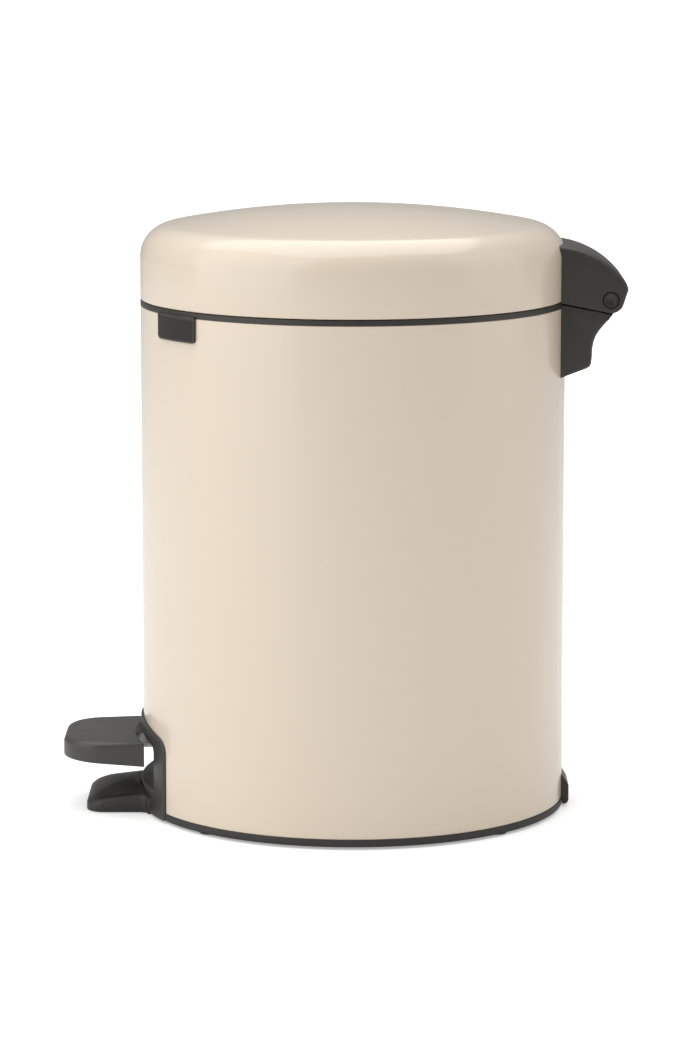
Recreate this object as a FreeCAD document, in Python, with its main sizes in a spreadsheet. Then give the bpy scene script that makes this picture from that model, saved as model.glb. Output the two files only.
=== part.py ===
import FreeCAD, Part
import Sketcher
import math
import os

# Pedal trash can of about five litres, in millimetres.
# The origin is on the floor, on the axis of the round body. +Z is up, the pedal
# is at -Y and the lid's hinge is at +Y.

doc = FreeCAD.newDocument("pedal_trash_can")

# Driving dimensions: name, value, meaning.
DIMENSIONS = [
    ("body_radius", 102.5, "outside of the sheet body and of the lid"),
    ("sheet_wall", 0.8, "coated steel sheet of the body and the lid"),
    ("floor_gap", 1.2, "floor to the underside of the base lip"),
    ("lip_rise", 3.65, "visible band of the base under the body"),
    ("lip_proud", 0.4, "base lip beyond the body"),
    ("body_length", 241.15, "body sheet, edge to edge"),
    ("mould_wall", 2.0, "wall of the plastic mouldings"),
    ("fixed_gap", 0.1, "gap between two pieces that are fixed together"),
    ("free_gap", 0.3, "gap between two pieces that move"),
    ("run_gap", 0.05, "radial clearance of a running fit"),
    ("base_upstand", 11.0, "base wall inside the body, above the lip"),
    ("ring_inset", 14.5, "body to the anti-slip ring, inwards"),
    ("ring_width", 8.0, "anti-slip ring, across"),
    ("lug_radius", 5.0, "small floor lugs under the lip"),
    ("lug_inset", 6.5, "body to the middle of a floor lug, inwards"),
    ("rim_band", 2.7, "visible band of the rim ring above the body"),
    ("rim_band_width", 3.9, "flat top of the rim ring, across"),
    ("rim_skirt", 10.0, "depth of the rim ring inside the body"),
    ("ledge_drop", 6.0, "top of the body down to the bucket's seat"),
    ("ledge_width", 7.6, "bucket seat, across"),
    ("buffer_radius", 1.3, "rubber buffers under the lid"),
    ("buffer_depth", 2.0, "buffer plug inside the rim band"),
    ("tab_centre", 36.05, "badge tab, degrees round from the front"),
    ("tab_sweep", 16.9, "badge tab, degrees across"),
    ("tab_length", 11.6, "badge tab, down from the rim band"),
    ("tab_wall", 1.3, "thickness of the badge tab"),
    ("tab_border", 1.1, "raised border round the badge plate"),
    ("badge_depth", 0.4, "recess that holds the badge plate"),
    ("lid_wall_length", 20.0, "upright wall of the lid"),
    ("lid_shoulder", 16.0, "shoulder radius of the lid"),
    ("lid_crown", 475.0, "crown radius of the lid"),
    ("lid_curl", 2.4, "inward turned edge of the lid"),
    ("liner_wall", 1.5, "lid liner"),
    ("liner_gap", 0.2, "lid sheet to liner"),
    ("pin_out", 20.5, "hinge pin beyond the body"),
    ("pin_rise", 4.0, "top of the body up to the hinge pin"),
    ("pin_radius", 2.5, "hinge pin shank"),
    ("pin_head_radius", 3.8, "hinge pin head"),
    ("pin_head_depth", 1.5, "hinge pin head, along the pin"),
    ("hinge_width", 52.0, "hood and bracket, across"),
    ("cheek_wall", 2.6, "side wall of the hood"),
    ("ear_wall", 4.1, "bracket ear, along the pin"),
    ("knuckle_radius", 6.4, "hood edge round the hinge pin"),
    ("knuckle_gap", 0.5, "seam between the hood and the bracket"),
    ("hood_wall", 2.2, "top wall of the hood"),
    ("hood_round", 1.0, "rounded edges along the hood's top"),
    ("hood_rise", 26.0, "top of the hood above the hinge pin"),
    ("hood_crown", 44.4, "radius of the hood's top"),
    ("hood_back", 10.5, "radius of the hood's back"),
    ("hood_centre_back", 28.1, "hinge pin forward to the middle of the hood's top radius"),
    ("hood_back_start", 8.2, "hood's back above its tip, degrees above level"),
    ("hood_back_end", 39.6, "hood's back where its top begins, degrees above level"),
    ("bracket_drop", 32.2, "top of the body down to the bracket's foot"),
    ("crank_offset", 12.0, "hinge pin to the rod's upper hook, level"),
    ("crank_half", 2.5, "half thickness of the crank web"),
    ("crank_wall", 2.0, "wall round the crank slot"),
    ("lid_opening", 80.0, "lid travel in degrees"),
    ("rod_radius", 2.0, "push rod wire"),
    ("rod_side", 11.0, "push rod to the middle plane"),
    ("rod_inset", 8.5, "body to the lower run of the push rod, inwards"),
    ("rod_bend", 4.0, "bend radius of the push rod"),
    ("rod_foot", 11.0, "height of the rod's lower hook"),
    ("jog_start", 33.0, "top of the body down to the rod's jog"),
    ("jog_rise", 19.0, "height of the rod's jog"),
    ("axle_back", 54.0, "body axis forward to the pedal axle"),
    ("axle_height", 27.5, "height of the pedal axle"),
    ("axle_radius", 2.5, "pedal axle"),
    ("rod_share", 0.948, "push rod travel against the travel of the crank's slot"),
    ("lever_width", 14.0, "lever channel, across"),
    ("lever_gauge", 2.0, "lever sheet"),
    ("lever_depth", 8.0, "lever channel, from top to bottom"),
    ("tongue_width", 24.0, "flat front end of the lever"),
    ("post_gap", 2.0, "lever channel to the axle post"),
    ("post_wall", 5.0, "axle post, along the axle"),
    ("pedal_out", 38.5, "pedal's tip beyond the body"),
    ("pedal_top", 36.0, "height of the tread"),
    ("pedal_half", 33.0, "half width of the pedal beside the body"),
    ("pedal_taper", 2.5, "side of the pedal to the middle plane, degrees"),
    ("pedal_corner", 20.0, "corners of the pedal's tip"),
    ("pedal_depth", 12.1, "pedal beside the body, top to bottom"),
    ("pedal_rise", 3.4, "underside of the pedal against level, degrees"),
    ("pedal_wall", 2.5, "side wall of the pedal"),
    ("pedal_round", 3.2, "rounded edge of the tread"),
    ("pedal_stand_off", 2.4, "pedal to the face of the frame"),
    ("frame_proud", 1.2, "frame flange beyond the body"),
    ("frame_half", 50.0, "half width of the frame"),
    ("frame_top", 45.7, "top of the frame"),
    ("frame_crown", 213.0, "radius of the frame's top edge"),
    ("frame_corner", 7.0, "upper corners of the frame"),
    ("frame_flange", 3.0, "frame flange over the body sheet"),
    ("frame_neck", 5.0, "frame inside the body's face"),
    ("window_half", 38.5, "half width of the opening in the frame"),
    ("window_top", 38.6, "top of the opening in the frame"),
    ("window_sill", 14.0, "sill of the opening in the frame"),
    ("foot_half", 27.0, "half width of the front foot"),
    ("foot_out", 27.2, "foot's tip beyond the body"),
    ("foot_height", 12.4, "front foot on its middle line"),
    ("foot_lift", 0.3, "front foot above the floor"),
    ("foot_crown", 123.0, "radius of the foot's top across"),
    ("foot_corner", 9.0, "corners of the foot's tip"),
    ("flange_inset", 14.5, "body to the frame's screw flange, inwards"),
    ("flange_wall", 3.0, "frame's screw flange"),
    ("bumper_proud", 3.0, "rear bumper beyond the body"),
    ("bumper_half", 12.0, "half width of the rear bumper"),
    ("bumper_height", 14.0, "rear bumper, from bottom to top"),
    ("bucket_floor", 40.0, "underside of the bucket"),
    ("bucket_inset", 16.5, "body to the bucket's wall at its floor, inwards"),
    ("bucket_wall", 1.5, "bucket wall"),
    ("bucket_corner", 8.0, "rounded foot of the bucket"),
    ("bucket_clearance", 1.5, "bucket wall to its seat"),
    ("lip_width", 4.5, "bucket lip beyond the wall"),
    ("lip_wall", 1.6, "thickness of the bucket lip"),
    ("bail_radius", 1.75, "bail wire"),
    ("bail_inset", 10.0, "body to the bail's bow, inwards"),
    ("bail_bend", 3.5, "bend where the bail enters its ears"),
    ("bail_hook", 5.0, "bail end inside the bow's ends"),
    ("ear_half", 5.0, "half width of the bucket ears"),
    ("ear_rise", 4.6, "bucket ears above the lip"),
    ("screw_radius", 1.75, "shank of every screw"),
    ("screw_head_radius", 3.5, "head of every screw"),
    ("screw_head", 2.0, "height of a screw head"),
    ("plate_half", 26.0, "half width of the backing plate"),
    ("plate_wall", 1.7, "backing plate"),
    ("plate_height", 37.0, "backing plate, bottom to top"),
    ("guide_radius", 4.6, "outside of the rod guide"),
    ("guide_length", 6.0, "length of the rod guide"),
    ("bracket_screw_side", 22.0, "bracket screws to the middle plane"),
    ("bracket_screw_pitch", 10.0, "bracket screws, one above the other"),
    ("arm_screw_side", 15.0, "lid arm screws to the middle plane"),
    ("arm_screw_pitch", 9.0, "lid arm screws, one above the other"),
    ("clip_wall", 1.2, "spring clips on wire ends and axle"),
    ("clip_width", 1.8, "spring clips, from bore to rim"),
]

sheet = doc.addObject("Spreadsheet::Sheet", "sizes")
for row, (alias, value, meaning) in enumerate(DIMENSIONS, start=1):
    sheet.set(f"A{row}", str(value))
    sheet.setAlias(f"A{row}", alias)
    sheet.set(f"B{row}", meaning)
doc.recompute()


# ---------------------------------------------------------------- sizes


class Size:
    """A size with its number and the sheet expression that gives it."""

    def __init__(self, number, text):
        self.number = number
        self.text = text

    def __add__(self, other):
        other = as_size(other)
        return Size(self.number + other.number, f"({self.text} + {other.text})")

    def __sub__(self, other):
        other = as_size(other)
        return Size(self.number - other.number, f"({self.text} - {other.text})")

    def __mul__(self, other):
        other = as_size(other)
        return Size(self.number * other.number, f"({self.text} * {other.text})")

    def __truediv__(self, other):
        other = as_size(other)
        return Size(self.number / other.number, f"({self.text} / {other.text})")

    def __neg__(self):
        return Size(-self.number, f"(0 - {self.text})")

    def __radd__(self, other):
        return as_size(other) + self

    def __rsub__(self, other):
        return as_size(other) - self

    def __rmul__(self, other):
        return as_size(other) * self


def as_size(value):
    """Wrap a plain number as a Size."""
    if isinstance(value, Size):
        return value
    return Size(float(value), f"({value})" if value < 0 else str(value))


def root(size):
    return Size(math.sqrt(size.number), f"sqrt({size.text})")


def sine(size):
    return Size(math.sin(math.radians(size.number)), f"sin({size.text})")


def cosine(size):
    return Size(math.cos(math.radians(size.number)), f"cos({size.text})")


def across(radius, offset):
    """Other coordinate of a point of a circle about the origin."""
    return root(radius * radius - offset * offset)


size = {alias: Size(value, f"sizes.{alias}") for alias, value, meaning in DIMENSIONS}


# ------------------------------------------------- sketches and features


def sketch_on(body, role, offset=None, turn=None):
    """Sketch on one of the body's own origin planes, moved or turned about its upright axis."""
    sketch = body.newObject("Sketcher::SketchObject", f"{body.Label}_sketch")
    plane = next(item for item in body.Origin.OriginFeatures if item.Role == role)
    sketch.AttachmentSupport = [(plane, "")]
    sketch.MapMode = "FlatFace"
    if turn is not None:
        rotation = FreeCAD.Rotation(FreeCAD.Vector(0, 1, 0), turn.number)
        sketch.AttachmentOffset = FreeCAD.Placement(FreeCAD.Vector(), rotation)
        sketch.setExpression("AttachmentOffset.Rotation.Angle", turn.text)
    if offset is not None:
        offset = as_size(offset)
        sketch.AttachmentOffset = FreeCAD.Placement(
            FreeCAD.Vector(0, 0, offset.number), FreeCAD.Rotation()
        )
        sketch.setExpression("AttachmentOffset.Base.z", offset.text)
    return sketch


def bind(sketch, kind, geometry, point, value):
    """Hold one coordinate of a sketch point, or a radius, to a size."""
    value = as_size(value)
    if kind == "Radius":
        index = sketch.addConstraint(Sketcher.Constraint(kind, geometry, value.number))
    elif value.number == 0:
        axis = -2 if kind == "DistanceX" else -1
        sketch.addConstraint(Sketcher.Constraint("PointOnObject", geometry, point, axis))
        return
    else:
        index = sketch.addConstraint(
            Sketcher.Constraint(kind, -1, 1, geometry, point, value.number)
        )
    sketch.setExpression(f"Constraints[{index}]", value.text)


def arc_between(start, end, radius, turn):
    """Short arc from start to end; turn says which way a walker along it turns."""
    chord = end - start
    middle = (start + end) * 0.5
    rise = math.sqrt(max(radius**2 - (chord.Length / 2) ** 2, 0.0))
    left = FreeCAD.Vector(-chord.y, chord.x, 0).normalize()
    centre = middle + left * (rise if turn == "left" else -rise)
    first, last = (start, end) if turn == "left" else (end, start)
    angles = [math.atan2(p.y - centre.y, p.x - centre.x) for p in (first, last)]
    if angles[1] < angles[0]:
        angles[1] += 2 * math.pi
    circle = Part.Circle(centre, FreeCAD.Vector(0, 0, 1), radius)
    return Part.ArcOfCircle(circle, *angles)


def chain(sketch, corners, closed=True):
    """Lines and arcs through the corners.

    A corner is (u, v), or (u, v, radius, turn) where an arc arrives at it.
    """
    count = len(corners)
    points = [FreeCAD.Vector(as_size(c[0]).number, as_size(c[1]).number, 0) for c in corners]
    pieces = []
    for index in range(0 if closed else 1, count):
        corner = corners[index]
        start, end = points[index - 1], points[index]
        if len(corner) == 2:
            geometry = sketch.addGeometry(Part.LineSegment(start, end))
            ends = (1, 2)
        else:
            radius, turn = as_size(corner[2]), corner[3]
            geometry = sketch.addGeometry(arc_between(start, end, radius.number, turn))
            ends = (1, 2) if turn == "left" else (2, 1)
            bind(sketch, "Radius", geometry, None, radius)
        bind(sketch, "DistanceX", geometry, ends[1], corner[0])
        bind(sketch, "DistanceY", geometry, ends[1], corner[1])
        pieces.append((geometry, ends))
    if not closed:
        bind(sketch, "DistanceX", pieces[0][0], pieces[0][1][0], corners[0][0])
        bind(sketch, "DistanceY", pieces[0][0], pieces[0][1][0], corners[0][1])
    for index in range(0 if closed else 1, len(pieces)):
        before, after = pieces[index - 1], pieces[index]
        sketch.addConstraint(
            Sketcher.Constraint("Coincident", before[0], before[1][1], after[0], after[1][0])
        )
    return sketch


def circle(sketch, u, v, radius):
    u, v, radius = as_size(u), as_size(v), as_size(radius)
    geometry = sketch.addGeometry(
        Part.Circle(FreeCAD.Vector(u.number, v.number, 0), FreeCAD.Vector(0, 0, 1), radius.number)
    )
    bind(sketch, "Radius", geometry, None, radius)
    bind(sketch, "DistanceX", geometry, 3, u)
    bind(sketch, "DistanceY", geometry, 3, v)
    return sketch


def rectangle(sketch, low, high):
    """Rectangle from its lowest to its highest corner."""
    return chain(sketch, [low, (high[0], low[1]), high, (low[0], high[1])])


def slot(sketch, u, v, half_length, radius):
    """Level slot about a point, made of quarter arcs."""
    return chain(
        sketch,
        [
            (u - half_length, v - radius, radius, "left"),
            (u + half_length, v - radius),
            (u + half_length + radius, v, radius, "left"),
            (u + half_length, v + radius, radius, "left"),
            (u - half_length, v + radius),
            (u - half_length - radius, v, radius, "left"),
        ],
    )


def body_named(label):
    body = doc.addObject("PartDesign::Body", label)
    body.Label = label
    return body


def extrude(body, kind, sketch, length, both=False, back=False):
    """Pad or Pocket; both ways means half of the length to each side of the sketch."""
    doc.recompute()
    before = body.Shape.Volume if kind == "Pocket" else 0
    feature = body.newObject(f"PartDesign::{kind}", f"{body.Label}_{kind.lower()}")
    feature.Profile = sketch
    length = as_size(length)
    feature.Length = length.number
    feature.setExpression("Length", length.text)
    feature.Midplane = both
    feature.Reversed = back
    doc.recompute()
    if kind == "Pocket" and body.Shape.Volume > before - 1e-3:
        raise RuntimeError(f"{feature.Label} cuts nothing")
    return feature


def pad(body, sketch, length, **options):
    return extrude(body, "Pad", sketch, length, **options)


def pocket(body, sketch, length, **options):
    return extrude(body, "Pocket", sketch, length, **options)


def spin(body, kind, sketch, angle=360, axis="V_Axis", back=False):
    """Revolution or Groove about an axis of the sketch."""
    doc.recompute()
    before = body.Shape.Volume if kind == "Groove" else 0
    feature = body.newObject(f"PartDesign::{kind}", f"{body.Label}_{kind.lower()}")
    feature.Profile = sketch
    feature.ReferenceAxis = (sketch, [axis])
    angle = as_size(angle)
    feature.Angle = angle.number
    feature.setExpression("Angle", angle.text)
    feature.Reversed = back
    doc.recompute()
    if kind == "Groove" and body.Shape.Volume > before - 1e-3:
        raise RuntimeError(f"{feature.Label} cuts nothing")
    return feature


def fillet(body, radius, chosen):
    """Round the edges of the body's last feature that the test picks."""
    doc.recompute()
    base = body.Tip
    names = [f"Edge{i}" for i, edge in enumerate(base.Shape.Edges, start=1) if chosen(edge)]
    if not names:
        raise RuntimeError(f"{body.Label}: no edge to round")
    feature = body.newObject("PartDesign::Fillet", f"{body.Label}_fillet")
    feature.Base = (base, names)
    radius = as_size(radius)
    feature.Radius = radius.number
    feature.setExpression("Radius", radius.text)
    doc.recompute()
    return feature


def place(item, x=0, y=0, z=0, facing=None):
    """Put an object at a place bound to the sheet; facing turns its own Z that way."""
    if facing is not None:
        turn = FreeCAD.Rotation(FreeCAD.Vector(0, 0, 1), FreeCAD.Vector(*facing))
        item.Placement = FreeCAD.Placement(FreeCAD.Vector(), turn)
    for letter, value in zip("xyz", (x, y, z)):
        item.setExpression(f"Placement.Base.{letter}", as_size(value).text)
    return item


def cylinder(label, radius, height):
    item = doc.addObject("Part::Cylinder", label)
    item.setExpression("Radius", as_size(radius).text)
    item.setExpression("Height", as_size(height).text)
    return item


def joined(kind, label, items):
    """MultiFuse, MultiCommon or Compound of some objects."""
    item = doc.addObject(f"Part::{kind}", label)
    if kind == "Compound":
        item.Links = items
    else:
        item.Shapes = items
    item.Label = label
    return item


def cut(label, base, tool):
    item = doc.addObject("Part::Cut", label)
    item.Base = base
    item.Tool = tool
    item.Label = label
    return item


# -------------------------------------------- shared places and levels

ring_outer = size["body_radius"] - size["ring_inset"]
ring_inner = ring_outer - size["ring_width"]
lug_circle = size["body_radius"] - size["lug_inset"]
flange_reach = size["body_radius"] - size["flange_inset"]
foot_reach = size["body_radius"] + size["foot_out"]
pedal_reach = size["body_radius"] + size["pedal_out"]
pin_reach = size["body_radius"] + size["pin_out"]
rod_reach = size["body_radius"] - size["rod_inset"]
bucket_base_radius = size["body_radius"] - size["bucket_inset"]
bail_bow = size["body_radius"] - size["bail_inset"]
shell_bottom = size["floor_gap"] + size["lip_rise"]
shell_top = shell_bottom + size["body_length"]
shell_inside = size["body_radius"] - size["sheet_wall"]
cover_inside = size["body_radius"] + size["fixed_gap"]
rim_top = shell_top + size["rim_band"]
lid_edge = rim_top + size["free_gap"]
lid_wall_top = lid_edge + size["lid_wall_length"]
pin_height = shell_top + size["pin_rise"]
frame_face = size["body_radius"] + size["frame_proud"]
fit_bore = size["screw_radius"]
hinge_half = size["hinge_width"] / 2
cheek_inside = hinge_half - size["cheek_wall"]
ear_outside = cheek_inside - size["free_gap"]
ear_inside = ear_outside - size["ear_wall"]
seam_radius = size["knuckle_radius"] + size["knuckle_gap"]
screw_ring = (ring_outer + cover_inside) / 2


# ----------------------------------------------------------- the base


def make_base():
    """Moulded floor with the lip that the body stands on and the axle posts."""
    body = body_named("base_moulding")
    lip_radius = size["body_radius"] + size["lip_proud"]
    upstand_outside = shell_inside - size["fixed_gap"]
    upstand_inside = upstand_outside - size["mould_wall"]
    upstand_top = shell_bottom + size["base_upstand"]
    floor_low = size["floor_gap"] * 2
    floor_top = floor_low + size["mould_wall"]
    thick_from = ring_inner - size["mould_wall"]
    section = [
        (0, floor_low),
        (thick_from, floor_low),
        (thick_from, size["floor_gap"]),
        (lip_radius, size["floor_gap"]),
        (lip_radius, shell_bottom),
        (upstand_outside, shell_bottom),
        (upstand_outside, upstand_top),
        (upstand_inside, upstand_top),
        (upstand_inside, floor_top),
        (0, floor_top),
    ]
    spin(body, "Revolution", chain(sketch_on(body, "XZ_Plane"), section))

    # Room for the pedal frame, which takes the lip's place at the front.
    notch_half = size["frame_half"] + size["free_gap"]
    notch_radius = size["body_radius"] - size["frame_neck"] - size["free_gap"]
    notch_depth = -across(notch_radius, notch_half)
    beyond = -(size["body_radius"] * 1.2)
    notch = [
        (-notch_half, beyond),
        (notch_half, beyond),
        (notch_half, notch_depth),
        (0, -notch_radius, notch_radius, "right"),
        (-notch_half, notch_depth, notch_radius, "right"),
    ]
    pocket(body, chain(sketch_on(body, "XY_Plane"), notch), upstand_top * 2, both=True)

    # Two posts carry the axle, one on each side of the lever.
    axle_at = -size["axle_back"]
    post_foot = size["axle_radius"] * 4
    post_head = size["axle_radius"] * 2.2
    post_inside = size["lever_width"] + size["post_gap"] * 2
    post_outside = post_inside + size["post_wall"] * 2
    post = [
        (axle_at - post_foot, floor_low + 1),
        (axle_at + post_foot, floor_low + 1),
        (axle_at + post_head, size["axle_height"]),
        (axle_at, size["axle_height"] + post_head, post_head, "left"),
        (axle_at - post_head, size["axle_height"], post_head, "left"),
    ]
    profile = chain(sketch_on(body, "YZ_Plane"), post)
    circle(profile, axle_at, size["axle_height"], size["axle_radius"] + size["run_gap"])
    pad(body, profile, post_outside, both=True)
    between = rectangle(
        sketch_on(body, "YZ_Plane"),
        (axle_at - post_foot - 1, floor_top),
        (axle_at + post_foot + 1, size["axle_height"] + post_head + 1),
    )
    pocket(body, between, post_inside, both=True)

    # Four floor lugs under the lip.
    lugs = sketch_on(body, "XY_Plane", size["floor_gap"] / 6)
    diagonal = lug_circle / math.sqrt(2)
    for side in (-1, 1):
        for end in (-1, 1):
            circle(lugs, diagonal * side, diagonal * end, size["lug_radius"])
    pad(body, lugs, size["floor_gap"])

    # Pilot holes of the two screws that hold the pedal frame.
    holes = sketch_on(body, "XY_Plane", floor_top)
    for side in (-1, 1):
        circle(holes, frame_screw_side * side, -frame_screw_reach, fit_bore)
    pocket(body, holes, size["mould_wall"] + size["floor_gap"] / 2)
    return body


frame_screw_side = size["frame_half"] * 0.6
frame_screw_reach = across(
    (flange_reach + size["body_radius"] - size["frame_neck"]) / 2, frame_screw_side
)


def make_floor_ring():
    """Rubber ring that the can stands on."""
    body = body_named("floor_ring")
    profile = sketch_on(body, "XY_Plane")
    circle(profile, 0, 0, ring_inner)
    circle(profile, 0, 0, ring_outer)
    pad(body, profile, size["floor_gap"])
    return body


# ------------------------------------------------------- the sheet body


def arch(half, top, bottom, crown, corner):
    """Front view of the frame: upright sides, rounded corners, crowned top."""
    corner_side = half - corner
    centre = top - crown
    corner_height = centre + across(crown - corner, corner_side)
    reach = crown / (crown - corner)
    meet_side = corner_side * reach
    meet_height = centre + (corner_height - centre) * reach
    return [
        (half, bottom),
        (half, corner_height),
        (meet_side, meet_height, corner, "left"),
        (0, top, crown, "left"),
        (-meet_side, meet_height, crown, "left"),
        (-half, corner_height, corner, "left"),
        (-half, bottom),
    ]


def inset_arch(inset, bottom):
    return arch(
        size["frame_half"] - inset,
        size["frame_top"] - inset,
        bottom,
        size["frame_crown"] - inset,
        size["frame_corner"] - inset,
    )


def bracket_screw_heights():
    middle = shell_top - size["bracket_drop"] * 2 / 3
    return [middle + size["bracket_screw_pitch"] * step for step in (-0.5, 0.5)]


def arm_screw_heights():
    middle = lid_edge + size["lid_wall_length"] / 2
    return [middle + size["arm_screw_pitch"] * step for step in (-0.5, 0.5)]


def rod_slot_floor():
    """Lowest point of the notch that lets the rod's jog through the body."""
    return shell_top - size["jog_start"] + size["rod_radius"] * 2


def make_body_shell():
    """Rolled sheet cylinder, open at the front for the lever and at the back for the rod."""
    body = body_named("body_shell")
    profile = sketch_on(body, "XY_Plane", shell_bottom)
    circle(profile, 0, 0, size["body_radius"])
    circle(profile, 0, 0, shell_inside)
    pad(body, profile, size["body_length"])
    beyond = size["body_radius"] * 1.2
    opening = chain(sketch_on(body, "XZ_Plane"), inset_arch(size["frame_flange"], 0))
    pocket(body, opening, beyond, back=True)
    back_cuts = sketch_on(body, "XZ_Plane")
    half = size["rod_radius"] * 2
    rectangle(
        back_cuts,
        (-size["rod_side"] - half, rod_slot_floor()),
        (-size["rod_side"] + half, shell_top + 1),
    )
    for height in bracket_screw_heights():
        for side in (-1, 1):
            circle(back_cuts, size["bracket_screw_side"] * side, height, fit_bore + size["fixed_gap"])
    pocket(body, back_cuts, beyond)
    return body


def sector(body, kind, corners, inset):
    """Turn a section about the body axis through the badge tab's angles, less an inset."""
    trim = inset / size["body_radius"] * (180 / math.pi)
    start = size["tab_centre"] - size["tab_sweep"] / 2 + trim - 90
    profile = sketch_on(body, "XZ_Plane", turn=start)
    chain(profile, corners)
    return spin(body, kind, profile, size["tab_sweep"] - trim * 2)


def make_rim_ring():
    """Plastic ring on top of the body, with the bucket's seat and the badge tab."""
    body = body_named("rim_ring")
    outside = size["body_radius"]
    skirt_outside = shell_inside - size["fixed_gap"]
    skirt_inside = skirt_outside - size["mould_wall"]
    seat_top = shell_top - size["ledge_drop"]
    seat_low = seat_top - size["mould_wall"]
    skirt_low = shell_top - size["rim_skirt"]
    section = [
        (outside - size["rim_band_width"], rim_top),
        (outside - size["rim_band_width"], shell_top),
        (skirt_inside, shell_top),
        (skirt_inside, seat_top),
        (skirt_inside - size["ledge_width"], seat_top),
        (skirt_inside - size["ledge_width"], seat_low),
        (skirt_inside, seat_low),
        (skirt_inside, skirt_low),
        (skirt_outside, skirt_low),
        (skirt_outside, shell_top),
        (outside, shell_top),
        (outside, rim_top),
    ]
    spin(body, "Revolution", chain(sketch_on(body, "XZ_Plane"), section))

    tab_inside = cover_inside
    tab_outside = tab_inside + size["tab_wall"]
    tab_low = shell_top - size["tab_length"]
    tab = [
        (outside - 1, shell_top),
        (tab_inside, shell_top),
        (tab_inside, tab_low),
        (tab_outside, tab_low),
        (tab_outside, shell_top),
        (outside, rim_top),
        (outside - 1, rim_top),
    ]
    sector(body, "Revolution", tab, as_size(0))
    fillet(body, size["tab_border"] * 2, lambda edge: is_tab_corner(edge))
    recess = [
        (tab_outside - size["badge_depth"], tab_low + size["tab_border"]),
        (tab_outside + 1, tab_low + size["tab_border"]),
        (tab_outside + 1, shell_top - size["tab_border"]),
        (tab_outside - size["badge_depth"], shell_top - size["tab_border"]),
    ]
    sector(body, "Groove", recess, size["tab_border"])

    # The seat and the skirt stop beside the push rod.
    room = size["rod_radius"] * 2.5
    gap = sketch_on(body, "XY_Plane", skirt_low - 1)
    rectangle(
        gap,
        (-size["rod_side"] - room, rod_reach - size["rod_radius"] * 2),
        (-size["rod_side"] + room, size["body_radius"] + 1),
    )
    pocket(body, gap, size["rim_skirt"] + 1, back=True)

    holes = sketch_on(body, "XY_Plane", rim_top)
    for x, y in buffer_places():
        circle(holes, x, y, size["buffer_radius"])
    pocket(body, holes, size["buffer_depth"])
    return body


def is_tab_corner(edge):
    """Short edges across the tab's thickness at its lower corners."""
    box = edge.BoundBox
    low = (shell_top - size["tab_length"]).number
    return abs(box.ZMin - low) < 0.01 and abs(box.ZMax - low) < 0.01 and edge.Length < 2


def buffer_places():
    """Three buffers, spread round the front and the sides of the rim."""
    circle_radius = size["body_radius"] - size["rim_band_width"] / 2
    places = []
    for angle in (-90, 10, 170):
        turn = math.radians(angle)
        places.append((circle_radius * math.cos(turn), circle_radius * math.sin(turn)))
    return places


def make_lid_buffers():
    """Rubber plugs in the rim that the lid comes to rest on."""
    plugs = []
    for number, (x, y) in enumerate(buffer_places(), start=1):
        length = size["buffer_depth"] + size["free_gap"]
        plug = cylinder(f"buffer_{number}", size["buffer_radius"], length)
        plugs.append(place(plug, x, y, rim_top - size["buffer_depth"]))
    return joined("Compound", "lid_buffers", plugs)


def make_badge_plate():
    """Blank plate in the tab's recess."""
    body = body_named("badge_plate")
    inside = cover_inside + size["tab_wall"] - size["badge_depth"]
    low = shell_top - size["tab_length"] + size["tab_border"] + size["fixed_gap"]
    high = shell_top - size["tab_border"] - size["fixed_gap"]
    thickness = size["badge_depth"] * 0.75
    plate = [(inside, low), (inside + thickness, low), (inside + thickness, high), (inside, high)]
    sector(body, "Revolution", plate, size["tab_border"] + size["fixed_gap"])
    return body


# ------------------------------------------------------ pedal frame


def make_pedal_frame():
    """Arch round the pedal with its floor foot and screw flange."""
    reach = foot_reach * 1.2
    neck_inset = size["frame_flange"] + size["fixed_gap"]
    neck_inside = size["body_radius"] - size["frame_neck"]
    neck = make_arch_block("frame_neck_block", neck_inset, reach)
    trim_cylinder(neck, cover_inside + size["fixed_gap"], neck_inside)
    flange = make_arch_block("frame_flange_block", as_size(0), reach)
    trim_cylinder(flange, frame_face, cover_inside)

    # Below the body's edge the frame takes the place of the base lip.
    sole = body_named("frame_sole_block")
    profile = rectangle(
        sketch_on(sole, "XZ_Plane"),
        (-size["frame_half"], size["floor_gap"]),
        (size["frame_half"], shell_bottom - size["fixed_gap"]),
    )
    pad(sole, profile, reach)
    trim_cylinder(sole, frame_face, neck_inside)

    blocks = [neck, flange, sole, make_foot(neck_inside), make_screw_flange(neck_inside)]
    return joined("MultiFuse", "pedal_frame", blocks)


def make_arch_block(label, inset, reach):
    """Arch-shaped block, drawn in by an inset, with the pedal's window through it."""
    block = body_named(label)
    pad(block, chain(sketch_on(block, "XZ_Plane"), inset_arch(inset, size["floor_gap"])), reach)
    window = arch(
        size["window_half"],
        size["window_top"],
        size["window_sill"],
        size["frame_crown"],
        size["frame_corner"] / 2,
    )
    pocket(block, chain(sketch_on(block, "XZ_Plane"), window), reach, back=True)
    return block


def base_floor_top():
    return size["floor_gap"] * 2 + size["mould_wall"]


def trim_cylinder(body, outside, inside):
    """Keep the part of a body that lies between two radii."""
    far = foot_reach * 1.5
    high = size["frame_top"] * 1.2
    outer = rectangle(sketch_on(body, "XZ_Plane"), (outside, -1), (far, high))
    spin(body, "Groove", outer)
    inner = rectangle(sketch_on(body, "XZ_Plane"), (0, -1), (inside, high))
    spin(body, "Groove", inner)


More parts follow.
